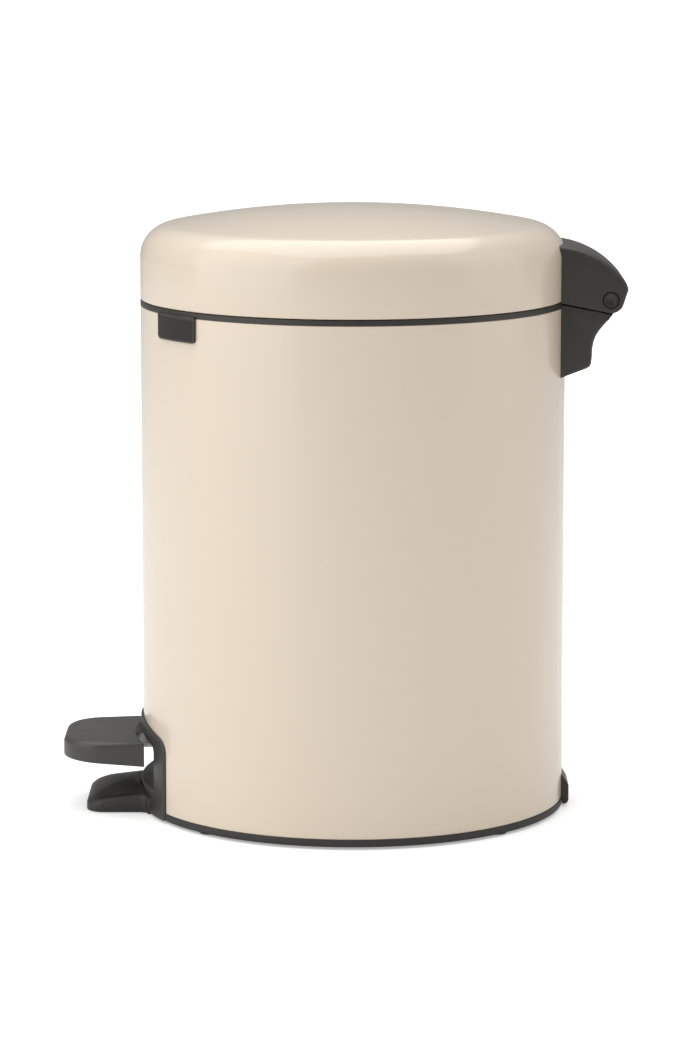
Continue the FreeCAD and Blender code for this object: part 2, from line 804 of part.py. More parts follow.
def make_foot(inside):
    """Crowned tongue on the floor that keeps the can from tipping forward."""
    foot = body_named("foot_block")
    low = size["foot_lift"]
    tip = -foot_reach
    half = size["foot_half"]
    corner = size["foot_corner"]
    plan = [
        (-half, -inside),
        (-half, tip + corner),
        (-half + corner, tip, corner, "left"),
        (half - corner, tip),
        (half, tip + corner, corner, "left"),
        (half, -inside),
    ]
    pad(foot, chain(sketch_on(foot, "XY_Plane", low), plan), size["foot_height"] * 1.5)

    # The top is crowned from side to side.
    crown = size["foot_crown"]
    high = size["foot_height"] * 2
    side = half + 1
    edge_height = size["foot_height"] - crown + across(crown, side)
    cap = [
        (-side, high),
        (-side, edge_height),
        (0, size["foot_height"], crown, "right"),
        (side, edge_height, crown, "right"),
        (side, high),
    ]
    pocket(foot, chain(sketch_on(foot, "XZ_Plane"), cap), foot_reach * 1.2, back=True)

    # It also falls towards the tip and ends in a round nose.
    nose = size["foot_height"] * 0.62
    slope_start = -(size["body_radius"] + size["pedal_stand_off"])
    nose_top = size["foot_height"] * 0.8
    fall = [
        (slope_start, high),
        (slope_start, size["foot_height"]),
        (tip + nose, nose_top, crown, "left"),
        (tip, nose_top - nose, nose, "left"),
        (tip - 1, nose_top - nose),
        (tip - 1, high),
    ]
    pocket(foot, chain(sketch_on(foot, "YZ_Plane"), fall), half * 3, both=True)
    return foot


def make_screw_flange(inside):
    """Flange of the frame that lies on the base's floor, under two screws."""
    flange = body_named("screw_flange_block")
    half = size["frame_half"] * 0.8
    near = flange_reach
    overlap = inside + 1
    plan = [
        (-half, -across(overlap, half)),
        (0, -overlap, overlap, "left"),
        (half, -across(overlap, half), overlap, "left"),
        (half, -across(near, half)),
        (0, -near, near, "right"),
        (-half, -across(near, half), near, "right"),
    ]
    pad(flange, chain(sketch_on(flange, "XY_Plane", base_floor_top()), plan), size["flange_wall"])
    holes = sketch_on(flange, "XY_Plane", base_floor_top() - 1)
    for side in (-1, 1):
        circle(holes, frame_screw_side * side, -frame_screw_reach, fit_bore + size["fixed_gap"])
    pocket(flange, holes, size["flange_wall"] + 2, back=True)
    return flange


def make_screw(label, length):
    """Pan-head screw along +Z, with its head's underside at zero."""
    shank = cylinder(f"{label}_shank", size["screw_radius"], length)
    shank.Label = f"{label}_shank"
    head = cylinder(f"{label}_head", size["screw_head_radius"], size["screw_head"])
    place(head, z=-size["screw_head"])
    return joined("MultiFuse", f"{label}_screw", [shank, head])


def make_frame_screws():
    screws = []
    top = base_floor_top() + size["flange_wall"]
    length = size["flange_wall"] + size["mould_wall"]
    for number, side in enumerate((-1, 1), start=1):
        screw = make_screw(f"frame_{number}", length)
        x = frame_screw_side * side
        screws.append(place(screw, x, -frame_screw_reach, top, facing=(0, 0, -1)))
    return joined("Compound", "frame_screws", screws)


def make_rear_bumper():
    """Small block at the back that keeps the can off the wall."""
    body = body_named("rear_bumper")
    near = size["body_radius"]
    far = size["body_radius"] + size["bumper_proud"]
    low = size["floor_gap"]
    high = low + size["bumper_height"]
    taper = size["bumper_proud"] * 0.8
    section = [
        (near - 4, low),
        (far - taper, low),
        (far, low + taper, taper, "left"),
        (far, high - taper * 2),
        (near + size["fixed_gap"] * 2, high),
        (near - 4, high),
    ]
    pad(body, chain(sketch_on(body, "YZ_Plane"), section), size["bumper_half"] * 2, both=True)
    lip_inside = size["body_radius"] + size["lip_proud"] + size["fixed_gap"]
    lip_space = (lip_inside, shell_bottom + size["fixed_gap"])
    inner = rectangle(sketch_on(body, "XZ_Plane"), (0, -1), lip_space)
    spin(body, "Groove", inner)
    upper = rectangle(sketch_on(body, "XZ_Plane"), (0, -1), (cover_inside, high + 1))
    spin(body, "Groove", upper)
    return body


# ------------------------------------------------- bracket and hood


def bracket_profile(inset):
    """Side view of the bracket, drawn in by an inset."""
    foot = shell_top - size["bracket_drop"]
    pin = pin_reach
    near = size["body_radius"] - 8
    return [
        (near, foot - 3.2 + inset),
        (near + 8, foot + inset),
        (pin - 11.4 - inset, foot + 3.2 + inset),
        (pin - 9.0 - inset, foot + 6.4 + inset, 3.4, "left"),
        (pin - 8.7 - inset, foot + 12.5),
        (pin - 4.9 - inset, foot + 22.2, 20, "right"),
    ]


def make_hinge_bracket():
    """Bracket on the back of the body whose two ears carry the hinge pin."""
    body = body_named("hinge_bracket")
    pin = pin_reach
    seam_foot = pin_height - seam_radius
    near = size["body_radius"] - 8
    outer = bracket_profile(as_size(0)) + [
        (pin + seam_radius * sine(as_size(8)), pin_height - seam_radius * cosine(as_size(8))),
        (pin, seam_foot, seam_radius, "right"),
        (pin - 3, pin_height - across(seam_radius, as_size(3)), seam_radius, "right"),
        (near, shell_top + 1.2),
    ]
    pad(body, chain(sketch_on(body, "YZ_Plane"), outer), size["hinge_width"], both=True)

    # Ears rise inside the hood's cheeks.
    ear = [
        (pin - 12, pin_height - 16),
        (pin - 1, pin_height - 10),
        (pin + size["knuckle_radius"] - 0.5, pin_height),
        (pin, pin_height + size["knuckle_radius"] - 0.5, size["knuckle_radius"] - 0.5, "left"),
        (pin - size["knuckle_radius"] + 0.5, pin_height, size["knuckle_radius"] - 0.5, "left"),
    ]
    pad(body, chain(sketch_on(body, "YZ_Plane"), ear), ear_outside * 2, both=True)

    # Hollow for the crank and the rod, open upwards and to the body.
    inner = bracket_profile(size["hood_wall"]) + [
        (pin + 1, pin_height - 9.5),
        (pin + 12, pin_height - 6),
        (pin + 12, pin_height + 12),
        (near, pin_height + 12),
    ]
    pocket(body, chain(sketch_on(body, "YZ_Plane"), inner), ear_inside * 2, both=True)

    clear = rectangle(
        sketch_on(body, "XZ_Plane"),
        (0, shell_top - size["bracket_drop"] * 2),
        (cover_inside, pin_height * 1.2),
    )
    spin(body, "Groove", clear)
    bore = circle(sketch_on(body, "YZ_Plane"), pin, pin_height, size["pin_radius"])
    pocket(body, bore, size["hinge_width"] + 2, both=True)
    pilots = sketch_on(body, "XZ_Plane")
    for height in bracket_screw_heights():
        for side in (-1, 1):
            circle(pilots, size["bracket_screw_side"] * side, height, fit_bore)
    pocket(body, pilots, bracket_screw_tip)
    return body


bracket_screw_tip = size["body_radius"] + 5


def make_backing_plate():
    """Steel plate inside the body behind the bracket, with the rod's guide."""
    body = body_named("backing_plate")
    outside = shell_inside - size["fixed_gap"]
    inside = outside - size["plate_wall"]
    high = shell_top - size["rim_skirt"] - size["fixed_gap"]
    low = high - size["plate_height"]
    half = size["plate_half"]
    face = rectangle(sketch_on(body, "XZ_Plane"), (-half, low), (half, high))
    pad(body, face, outside * 1.2, back=True)
    far = outside * 1.5
    spin(body, "Groove", rectangle(sketch_on(body, "XZ_Plane"), (outside, low - 1), (far, high + 1)))
    spin(body, "Groove", rectangle(sketch_on(body, "XZ_Plane"), (0, low - 1), (inside, high + 1)))
    guide_low = shell_top - size["jog_start"] - size["guide_length"] - size["rod_radius"]
    rod_x = -size["rod_side"]
    guide_root = inside + size["plate_wall"] / 3
    guide = [
        (rod_x + size["guide_radius"], guide_root),
        (rod_x - size["guide_radius"], guide_root),
        (rod_x - size["guide_radius"], rod_reach),
        (rod_x, rod_reach - size["guide_radius"], size["guide_radius"], "left"),
        (rod_x + size["guide_radius"], rod_reach, size["guide_radius"], "left"),
    ]
    pad(body, chain(sketch_on(body, "XY_Plane", guide_low), guide), size["guide_length"])
    bore = sketch_on(body, "XY_Plane", guide_low - 1)
    circle(bore, rod_x, rod_reach, size["rod_radius"] + size["free_gap"])
    pocket(body, bore, size["guide_length"] + 2, back=True)
    cuts = sketch_on(body, "XZ_Plane")
    half = size["rod_radius"] * 2.2
    rectangle(cuts, (rod_x - half, guide_low + size["guide_length"]), (rod_x + half, high + 1))
    for height in bracket_screw_heights():
        for side in (-1, 1):
            circle(cuts, size["bracket_screw_side"] * side, height, fit_bore + size["fixed_gap"])
    pocket(body, cuts, outside * 1.2)
    return body


def make_bracket_screws():
    screws = []
    outside = shell_inside - size["fixed_gap"]
    head_edge = size["bracket_screw_side"] + size["screw_head_radius"]
    head_face = across(outside - size["plate_wall"], head_edge)
    length = bracket_screw_tip - 1 - head_face
    for row, height in enumerate(bracket_screw_heights()):
        for side in (-1, 1):
            screw = make_screw(f"bracket_{row}_{side + 1}", length)
            x = size["bracket_screw_side"] * side
            screws.append(place(screw, x, head_face, height, facing=(0, 1, 0)))
    return joined("Compound", "bracket_screws", screws)


def make_hinge_pin():
    """Pin with a dished head on the +X side."""
    body = body_named("hinge_pin")
    head_face = hinge_half - size["fixed_gap"]
    head_seat = head_face - size["pin_head_depth"]
    tail = -head_face + size["pin_head_depth"] / 4
    dish = size["pin_head_radius"] * 0.55
    section = [
        (tail, 0),
        (head_face - size["pin_head_depth"] / 3, 0),
        (head_face - size["pin_head_depth"] / 3, dish * 0.4),
        (head_face, dish),
        (head_face, size["pin_head_radius"]),
        (head_seat, size["pin_head_radius"]),
        (head_seat, size["pin_radius"]),
        (tail, size["pin_radius"]),
    ]
    spin(body, "Revolution", chain(sketch_on(body, "XY_Plane"), section), axis="H_Axis")
    return place(body, 0, pin_reach, pin_height)


def make_pin_cap():
    """Push-on cap at the pin's other end."""
    body = body_named("pin_cap")
    face = -hinge_half + size["fixed_gap"]
    seat = face + size["pin_head_depth"]
    bottom = face + size["pin_head_depth"] / 4
    section = [
        (face, 0),
        (face, size["pin_head_radius"]),
        (seat, size["pin_head_radius"]),
        (seat, size["pin_radius"]),
        (bottom, size["pin_radius"]),
        (bottom, 0),
    ]
    spin(body, "Revolution", chain(sketch_on(body, "XY_Plane"), section), axis="H_Axis")
    return place(body, 0, pin_reach, pin_height)


# --------------------------------------------------------------- the lid


def dome_section(offset, wall, bottom, curl):
    """Half section of a domed shell: upright wall, shoulder and crown."""
    def surface(inset):
        radius = size["body_radius"] - inset
        shoulder = size["lid_shoulder"] - inset
        crown = size["lid_crown"] - inset
        core = size["lid_crown"] - size["lid_shoulder"]
        side = size["body_radius"] - size["lid_shoulder"]
        centre = lid_wall_top - across(core, side)
        reach = crown / core
        meet = (side * reach, centre + (lid_wall_top - centre) * reach)
        return radius, shoulder, crown, meet, centre + crown

    radius, shoulder, crown, meet, apex = surface(offset)
    in_radius, in_shoulder, in_crown, in_meet, in_apex = surface(offset + wall)
    section = [
        (0, in_apex),
        (in_meet[0], in_meet[1], in_crown, "right"),
        (in_radius, lid_wall_top, in_shoulder, "right"),
    ]
    if curl is None:
        section += [(in_radius, bottom)]
    else:
        curl_radius = radius - curl
        section += [
            (in_radius, bottom + wall),
            (curl_radius, bottom + wall),
            (curl_radius, bottom),
        ]
    section += [
        (radius, bottom),
        (radius, lid_wall_top),
        (meet[0], meet[1], shoulder, "left"),
        (0, apex, crown, "left"),
    ]
    return section


def make_lid_shell():
    """Pressed sheet lid with a turned-in edge."""
    body = body_named("lid_shell")
    section = dome_section(as_size(0), size["sheet_wall"], lid_edge, size["lid_curl"])
    spin(body, "Revolution", chain(sketch_on(body, "XZ_Plane"), section))
    drill_for_arm_screws(body)
    return body


def drill_for_arm_screws(body):
    holes = sketch_on(body, "XZ_Plane")
    for height in arm_screw_heights():
        for side in (-1, 1):
            circle(holes, size["arm_screw_side"] * side, height, fit_bore + size["fixed_gap"])
    pocket(body, holes, size["body_radius"] * 1.2)


def make_lid_liner():
    """Plastic liner inside the lid."""
    body = body_named("lid_liner")
    offset = size["sheet_wall"] + size["liner_gap"]
    bottom = lid_edge + size["sheet_wall"] + size["fixed_gap"]
    section = dome_section(offset, size["liner_wall"], bottom, None)
    spin(body, "Revolution", chain(sketch_on(body, "XZ_Plane"), section))
    drill_for_arm_screws(body)
    return body


def hood_profile(inset):
    """Upper edge of the hood from its tip forward over the crown, drawn in by an inset."""
    crown = size["hood_crown"]
    back = size["hood_back"]
    centre = (pin_reach - size["hood_centre_back"], pin_height + size["hood_rise"] - crown)
    out = (cosine(size["hood_back_end"]), sine(size["hood_back_end"]))
    low = (cosine(size["hood_back_start"]), sine(size["hood_back_start"]))
    back_centre = [middle + (crown - back) * part for middle, part in zip(centre, out)]
    tip = [middle + (back - inset) * part for middle, part in zip(back_centre, low)]
    meet = [middle + (crown - inset) * part for middle, part in zip(centre, out)]
    return [
        (tip[0], tip[1]),
        (meet[0], meet[1], back - inset, "left"),
        (centre[0], centre[1] + crown - inset, crown - inset, "left"),
    ]


def make_lid_arm():
    """Hood over the hinge with the crank that the push rod lifts."""
    body = body_named("lid_arm")
    pin = pin_reach
    knuckle = size["knuckle_radius"]
    near = size["body_radius"] - 14
    seam_low = shell_top + 1.9
    outer = [
        (near, seam_low + 2.2),
        (size["body_radius"] - 1, seam_low),
        (pin - 2.4, pin_height - across(knuckle, as_size(2.4))),
        (pin, pin_height - knuckle, knuckle, "left"),
        (pin + knuckle * 0.9, pin_height - across(knuckle, knuckle * 0.9), knuckle, "left"),
    ] + hood_profile(as_size(0)) + [(near, pin_height + size["hood_rise"])]
    pad(body, chain(sketch_on(body, "YZ_Plane"), outer), size["hinge_width"], both=True)
    fillet(body, size["hood_round"], is_hood_top_edge)

    # Room for the ears, with a front wall that the lid is screwed to.
    front = size["body_radius"] + 3.1
    inner_crown = size["hood_crown"] - size["hood_wall"]
    hollow = [
        (front, seam_low - 12),
        (pin + 20, seam_low - 12),
        (pin + 20, pin_height + 2),
    ] + hood_profile(size["hood_wall"])[:2] + [
        (front, hood_roof_at(front, size["hood_wall"]), inner_crown, "left"),
    ]
    pocket(body, chain(sketch_on(body, "YZ_Plane"), hollow), cheek_inside * 2, both=True)

    # Crank web, from the hood's roof down to the slotted eye.
    slot_near = size["crank_offset"]
    slot_far = slot_near / cosine(half_opening)
    slot_radius = size["rod_radius"] + size["free_gap"] * 2 + 0.2
    web_radius = slot_radius + size["crank_wall"]
    along = (cosine(half_opening), sine(half_opening))
    ends = [(pin - reach * along[0], pin_height - reach * along[1]) for reach in (slot_near, slot_far)]
    (near_y, near_z), (far_y, far_z) = ends
    web = [
        (front - 1, pin_height + 12),
        (front - 1, pin_height - 4),
        (far_y - web_radius * 0.7, far_z + web_radius * 0.7),
        (far_y, far_z - web_radius, web_radius, "left"),
        (near_y + web_radius * 0.6, near_z - web_radius * 0.8),
        (pin, pin_height - 3),
        (pin + 4, pin_height + 8),
        (pin - 6, pin_height + 17.4),
    ]
    pad(body, chain(sketch_on(body, "YZ_Plane"), web), size["crank_half"] * 2, both=True)
    side = (slot_radius * along[1], slot_radius * along[0])
    eye = [
        (far_y - side[0], far_z + side[1]),
        (far_y - slot_radius * along[0], far_z - slot_radius * along[1], slot_radius, "left"),
        (far_y + side[0], far_z - side[1], slot_radius, "left"),
        (near_y + side[0], near_z - side[1]),
        (near_y + slot_radius * along[0], near_z + slot_radius * along[1], slot_radius, "left"),
        (near_y - side[0], near_z + side[1], slot_radius, "left"),
    ]
    pocket(body, chain(sketch_on(body, "YZ_Plane"), eye), size["crank_half"] * 3, both=True)

    # The lid's wall and shoulder fit into the hood's hollow front.
    spin(body, "Groove", chain(sketch_on(body, "XZ_Plane"), lid_envelope()))
    bore = circle(sketch_on(body, "YZ_Plane"), pin, pin_height, size["pin_radius"] + size["run_gap"])
    pocket(body, bore, size["hinge_width"] + 2, both=True)
    for side_sign in (-1, 1):
        head = sketch_on(body, "YZ_Plane", (hinge_half + 1) * side_sign)
        circle(head, pin, pin_height, size["pin_head_radius"] + size["free_gap"])
        depth = size["pin_head_depth"] + size["fixed_gap"] * 2 + 1
        pocket(body, head, depth, back=side_sign < 0)
    pilots = sketch_on(body, "XZ_Plane")
    for height in arm_screw_heights():
        for side_sign in (-1, 1):
            circle(pilots, size["arm_screw_side"] * side_sign, height, fit_bore)
    pocket(body, pilots, size["body_radius"] + 2.5)
    return body


def hood_roof_at(reach, inset):
    """Height of the hood's crown at a distance from the body axis."""
    crown = size["hood_crown"]
    centre_reach = pin_reach - size["hood_centre_back"]
    return pin_height + size["hood_rise"] - crown + across(crown - inset, reach - centre_reach)


def is_hood_top_edge(edge):
    """Edges along the hood's back and crown, on both sides."""
    box = edge.BoundBox
    tip_height = hood_profile(as_size(0))[0][1].number
    on_side = abs(abs(box.XMin) - hinge_half.number) < 0.01 and box.XLength < 0.01
    return on_side and box.ZMin > tip_height - 0.01 and box.YLength > 0.5


def lid_envelope():
    """Section of the space that the lid fills, with a fixing gap round it."""
    gap = size["fixed_gap"]
    core = size["lid_crown"] - size["lid_shoulder"]
    side = size["body_radius"] - size["lid_shoulder"]
    centre = lid_wall_top - across(core, side)
    crown = size["lid_crown"] + gap
    reach = crown / core
    meet_height = centre + (lid_wall_top - centre) * reach
    return [
        (0, shell_top),
        (cover_inside, shell_top),
        (cover_inside, lid_wall_top),
        (side * reach, meet_height, size["lid_shoulder"] + gap, "left"),
        (0, centre + crown, crown, "left"),
    ]


def make_arm_screws():
    screws = []
    inside = size["body_radius"] - size["sheet_wall"] - size["liner_gap"] - size["liner_wall"]
    head_face = across(inside, size["arm_screw_side"] + size["screw_head_radius"])
    length = size["body_radius"] + 1.5 - head_face
    for row, height in enumerate(arm_screw_heights()):
        for side in (-1, 1):
            screw = make_screw(f"arm_{row}_{side + 1}", length)
            x = size["arm_screw_side"] * side
            screws.append(place(screw, x, head_face, height, facing=(0, 1, 0)))
    return joined("Compound", "lid_arm_screws", screws)


# ------------------------------------------------------------ the bucket


bucket_seat = shell_top - size["ledge_drop"]
seat_radius = shell_inside - size["fixed_gap"] - size["mould_wall"] - size["ledge_width"]
bucket_top_radius = seat_radius - size["bucket_clearance"]
bucket_lip_radius = bucket_top_radius + size["lip_width"]
lip_top = bucket_seat + size["lip_wall"]
bail_height = lip_top + size["bail_radius"] + size["free_gap"]


def make_inner_bucket():
    """Plastic bucket that hangs by its lip in the rim ring."""
    body = body_named("inner_bucket")
    wall = size["bucket_wall"]
    corner = size["bucket_corner"]
    low = size["bucket_floor"]
    section = [
        (0, low),
        (bucket_base_radius - corner, low),
        (bucket_base_radius, low + corner, corner, "left"),
        (bucket_top_radius, bucket_seat),
        (bucket_lip_radius, bucket_seat),
        (bucket_lip_radius, lip_top),
        (bucket_top_radius - wall, lip_top),
        (bucket_base_radius - wall, low + corner),
        (bucket_base_radius - corner, low + wall, corner - wall, "right"),
        (0, low + wall),
    ]
    spin(body, "Revolution", chain(sketch_on(body, "XZ_Plane"), section))

    # The lip is cut straight at the back to pass the push rod.
    flat = rod_reach - size["rod_radius"] - size["bucket_clearance"] * 0.8
    trim = rectangle(
        sketch_on(body, "XY_Plane", bucket_seat - 1),
        (-bucket_lip_radius, flat),
        (bucket_lip_radius, bucket_lip_radius + 1),
    )
    pocket(body, trim, size["lip_wall"] + 2, back=True)

    # Two ears hold the bail. Each stands on a root that joins it to the wall.
    ear_out = bail_bow - size["bail_bend"] - size["free_gap"]
    ear_in = ear_out - wall * 2
    root_out = bucket_top_radius - wall / 2
    ear_low = bucket_seat - size["ear_rise"] * 2
    half = size["ear_half"]
    for side in (-1, 1):
        base = sketch_on(body, "YZ_Plane", ear_in * side)
        rectangle(base, (-half, ear_low), (half, lip_top))
        pad(body, base, root_out - ear_in, back=side < 0)
        ear = sketch_on(body, "YZ_Plane", ear_in * side)
        rectangle(ear, (-half, ear_low + 1), (half, lip_top + size["ear_rise"]))
        circle(ear, 0, bail_height, size["bail_radius"] + size["run_gap"])
        pad(body, ear, ear_out - ear_in, back=side < 0)
    return body


def make_bucket_bail():
    """Wire handle, folded forward onto the bucket's lip."""
    body = body_named("bucket_bail")
    bow = bail_bow
    bend = size["bail_bend"]
    inner_end = bow - bend - size["bail_hook"]
    path = sketch_on(body, "XY_Plane", bail_height)
    chain(
        path,
        [
            (-inner_end, 0),
            (-bow + bend, 0),
            (-bow, -bend, bend, "left"),
            (0, -bend - bow, bow, "left"),
            (bow, -bend, bow, "left"),
            (bow - bend, 0, bend, "left"),
            (inner_end, 0),
        ],
        closed=False,
    )
    section = sketch_on(body, "YZ_Plane", -inner_end)
    circle(section, 0, bail_height, size["bail_radius"])
    doc.recompute()
    pipe = body.newObject("PartDesign::AdditivePipe", "bail_pipe")
    pipe.Profile = section
    pipe.Spine = (path, [f"Edge{i + 1}" for i in range(path.GeometryCount)])
    doc.recompute()
    return body


# --------------------------------------------------- pedal and lever

lever_top = size["axle_height"] + size["lever_depth"] / 2
rod_span = rod_reach + size["axle_back"]
lever_fall = size["axle_height"] - size["rod_foot"]
eye_travel = size["rod_radius"] / 4


def make_pedal_lever():
    """Pressed steel lever: flat tongue in the pedal, channel to the push rod."""
    body = body_named("pedal_lever")
    axle_at = -size["axle_back"]
    slope = lever_fall / rod_span
    eye_half = eye_travel + size["free_gap"]
    eye_at = rod_reach - eye_travel
    tail = eye_at + eye_half + size["rod_radius"] * 1.8
    tail_top = lever_top - (tail - axle_at) * slope
    channel_front = -(frame_face - size["frame_neck"] * 1.5)

    def strip(top_drop, bottom_drop, extra):
        return [
            (channel_front - extra, lever_top - top_drop),
            (channel_front - extra, lever_top - bottom_drop),
            (axle_at, lever_top - bottom_drop),
            (tail + extra, tail_top - slope * extra - bottom_drop),
            (tail + extra, tail_top - slope * extra - top_drop),
            (axle_at, lever_top - top_drop),
        ]

    outer = strip(as_size(0), size["lever_depth"], as_size(0))
    pad(body, chain(sketch_on(body, "YZ_Plane"), outer), size["lever_width"], both=True)
    inner = strip(size["lever_gauge"], size["lever_depth"] * 2, as_size(1))
    inner_width = size["lever_width"] - size["lever_gauge"] * 2
    pocket(body, chain(sketch_on(body, "YZ_Plane"), inner), inner_width, both=True)
    tongue = rectangle(
        sketch_on(body, "YZ_Plane"),
        (-(pedal_reach - size["pedal_wall"] * 3.5), lever_top - size["lever_gauge"]),
        (channel_front + 2, lever_top),
    )
    pad(body, tongue, size["tongue_width"], both=True)

    bores = sketch_on(body, "YZ_Plane")
    circle(bores, axle_at, size["axle_height"], size["axle_radius"])
    slot(bores, eye_at, size["rod_foot"], eye_half, size["rod_radius"] + size["free_gap"])
    pocket(body, bores, size["lever_width"] * 2, both=True)
    holes = sketch_on(body, "XY_Plane", lever_top + 1)
    for reach in pedal_screw_places():
        circle(holes, 0, -reach, fit_bore + size["fixed_gap"])
    pocket(body, holes, size["lever_gauge"] + 2)
    return body


def pedal_screw_places():
    tip = pedal_reach - size["pedal_corner"]
    return [tip + 6, tip - 7]


def pedal_outline(inset):
    """Plan of the pedal, drawn in by an inset, with the side towards the body hollow."""
    hollow_radius = frame_face + size["pedal_stand_off"] + inset
    half = size["pedal_half"] - inset
    taper = size["pedal_taper"]
    corner = size["pedal_corner"] - inset
    back = across(hollow_radius, half)
    centre_reach = pedal_reach - size["pedal_corner"]
    side_drop = (centre_reach + corner * sine(taper) - back) * sine(taper) / cosine(taper)
    turn_half = half - side_drop
    centre_half = turn_half - corner * cosine(taper)
    turn_reach = centre_reach + corner * sine(taper)
    tip = centre_reach + corner
    return [
        (-turn_half, -turn_reach),
        (-centre_half, -tip, corner, "left"),
        (centre_half, -tip),
        (turn_half, -turn_reach, corner, "left"),
        (half, -back),
        (0, -hollow_radius, hollow_radius, "right"),
        (-half, -back, hollow_radius, "right"),
    ]


def make_pedal():
    """Hollow moulded tread over the lever's tongue."""
    body = body_named("pedal")
    bottom = size["pedal_top"] - size["pedal_depth"] - 1
    plan = chain(sketch_on(body, "XY_Plane", bottom), pedal_outline(as_size(0)))
    pad(body, plan, size["pedal_depth"] + 1)
    slope = sine(size["pedal_rise"]) / cosine(size["pedal_rise"])
    near = -size["body_radius"] + 6
    far = -pedal_reach - 2
    under = size["pedal_top"] - size["pedal_depth"]
    wedge = [
        (near, bottom - 2),
        (near, under),
        (far, under + (near - far) * slope),
        (far, bottom - 2),
    ]
    pocket(body, chain(sketch_on(body, "YZ_Plane"), wedge), size["pedal_half"] * 3, both=True)
    fillet(body, size["pedal_round"], is_tread_edge)
    hollow = chain(sketch_on(body, "XY_Plane", bottom - 1), pedal_outline(size["pedal_wall"]))
    pocket(body, hollow, lever_top - bottom + 1, back=True)
    notch = rectangle(
        sketch_on(body, "XZ_Plane", size["body_radius"] - 10),
        (-size["tongue_width"] / 2 - size["free_gap"], bottom - 1),
        (size["tongue_width"] / 2 + size["free_gap"], lever_top),
    )
    pocket(body, notch, size["frame_neck"] * 3 + size["pedal_wall"], back=True)
    pilots = sketch_on(body, "XY_Plane", lever_top - 1)
    for reach in pedal_screw_places():
        circle(pilots, 0, -reach, fit_bore)
    pocket(body, pilots, (size["pedal_top"] - lever_top) / 2 + 1, back=True)
    return body


def is_tread_edge(edge):
    """Edges round the tread, except the one beside the body."""
    box = edge.BoundBox
    on_top = abs(box.ZMin - size["pedal_top"].number) < 0.01 and box.ZLength < 0.01
    hollow_radius = (frame_face + size["pedal_stand_off"]).number
    middle = edge.valueAt((edge.FirstParameter + edge.LastParameter) / 2)
    beside_body = abs(math.hypot(middle.x, middle.y) - hollow_radius) < 0.01
    return on_top and not beside_body


def make_pedal_screws():
    screws = []
    under = lever_top - size["lever_gauge"]
    length = size["lever_gauge"] + (size["pedal_top"] - lever_top) / 2 - 0.3
    for number, reach in enumerate(pedal_screw_places(), start=1):
        screw = make_screw(f"pedal_{number}", length)
        screws.append(place(screw, 0, -reach, under, facing=(0, 0, 1)))
    return joined("Compound", "pedal_screws", screws)


clip_inside = size["lever_width"] / 2 + size["post_gap"] + size["post_wall"] + size["free_gap"]
axle_half = clip_inside + size["clip_wall"] * 2


def make_pedal_axle():
    axle = cylinder("pedal_axle", size["axle_radius"], axle_half * 2)
    axle.Label = "pedal_axle"
    return place(axle, -axle_half, -size["axle_back"], size["axle_height"], facing=(1, 0, 0))


def washer(label, bore, x, y, z):
    """Push-on spring clip round a wire or shaft along X."""
    outer = cylinder(f"{label}_outer", bore + size["clip_width"], size["clip_wall"])
    inner = cylinder(f"{label}_inner", bore, size["clip_wall"] * 3)
    place(inner, z=-size["clip_wall"])
    ring = cut(label, outer, inner)
    return place(ring, x, y, z, facing=(1, 0, 0))


def make_axle_clips():
    clips = []
    y, z = -size["axle_back"], size["axle_height"]
    for number, x in enumerate((clip_inside, -clip_inside - size["clip_wall"]), start=1):
        clips.append(washer(f"axle_clip_{number}", size["axle_radius"], x, y, z))
    return joined("Compound", "axle_clips", clips)


# -------------------------------------------------------------- push rod

half_opening = size["lid_opening"] / 2
rod_half_travel = size["crank_offset"] * sine(half_opening) / cosine(half_opening) * size["rod_share"]
rod_upper_hook = pin_height - rod_half_travel
rod_upper_reach = pin_reach - size["crank_offset"]
lower_clip_at = size["lever_width"] / 2 + size["free_gap"] * 2
upper_clip_at = size["crank_half"] + size["free_gap"] * 2


def make_push_rod():
    """Bent wire from the lever's tail to the crank, whose path leaves one plane."""
    rod_x = -size["rod_side"].number
    low = size["rod_foot"].number
    jog_low = (shell_top - size["jog_start"]).number
    jog_high = jog_low + size["jog_rise"].number
    hook = rod_upper_hook.number
    inner = rod_reach.number
    outer = rod_upper_reach.number
    lower_end = (lower_clip_at + size["clip_wall"] * 2).number
    upper_end = (upper_clip_at + size["clip_wall"] * 2).number
    route = [
        FreeCAD.Vector(lower_end, inner, low),
        FreeCAD.Vector(rod_x, inner, low),
        FreeCAD.Vector(rod_x, inner, jog_low),
        FreeCAD.Vector(rod_x, outer, jog_high),
        FreeCAD.Vector(rod_x, outer, hook),
        FreeCAD.Vector(upper_end, outer, hook),
    ]
    item = doc.addObject("Part::Feature", "push_rod")
    item.Label = "push_rod"
    item.Shape = swept_wire(route, size["rod_bend"].number, size["rod_radius"].number)
    return item


def swept_wire(route, bend, radius):
    """Round wire along straight runs joined by tangent arcs."""
    edges = []
    start = route[0]
    for before, corner, after in zip(route, route[1:], route[2:]):
        incoming = (corner - before).normalize()
        outgoing = (after - corner).normalize()
        half_turn = incoming.getAngle(outgoing) / 2
        setback = bend * math.tan(half_turn)
        arc_start = corner - incoming * setback
        arc_end = corner + outgoing * setback
        inward = (outgoing - incoming).normalize()
        arc_middle = corner + inward * (bend / math.cos(half_turn) - bend)
        edges.append(Part.makeLine(start, arc_start))
        edges.append(Part.Arc(arc_start, arc_middle, arc_end).toShape())
        start = arc_end
    edges.append(Part.makeLine(start, route[-1]))
    spine = Part.Wire(edges)
    section = Part.Wire(Part.makeCircle(radius, route[0], route[1] - route[0]))
    return spine.makePipeShell([section], True, True)


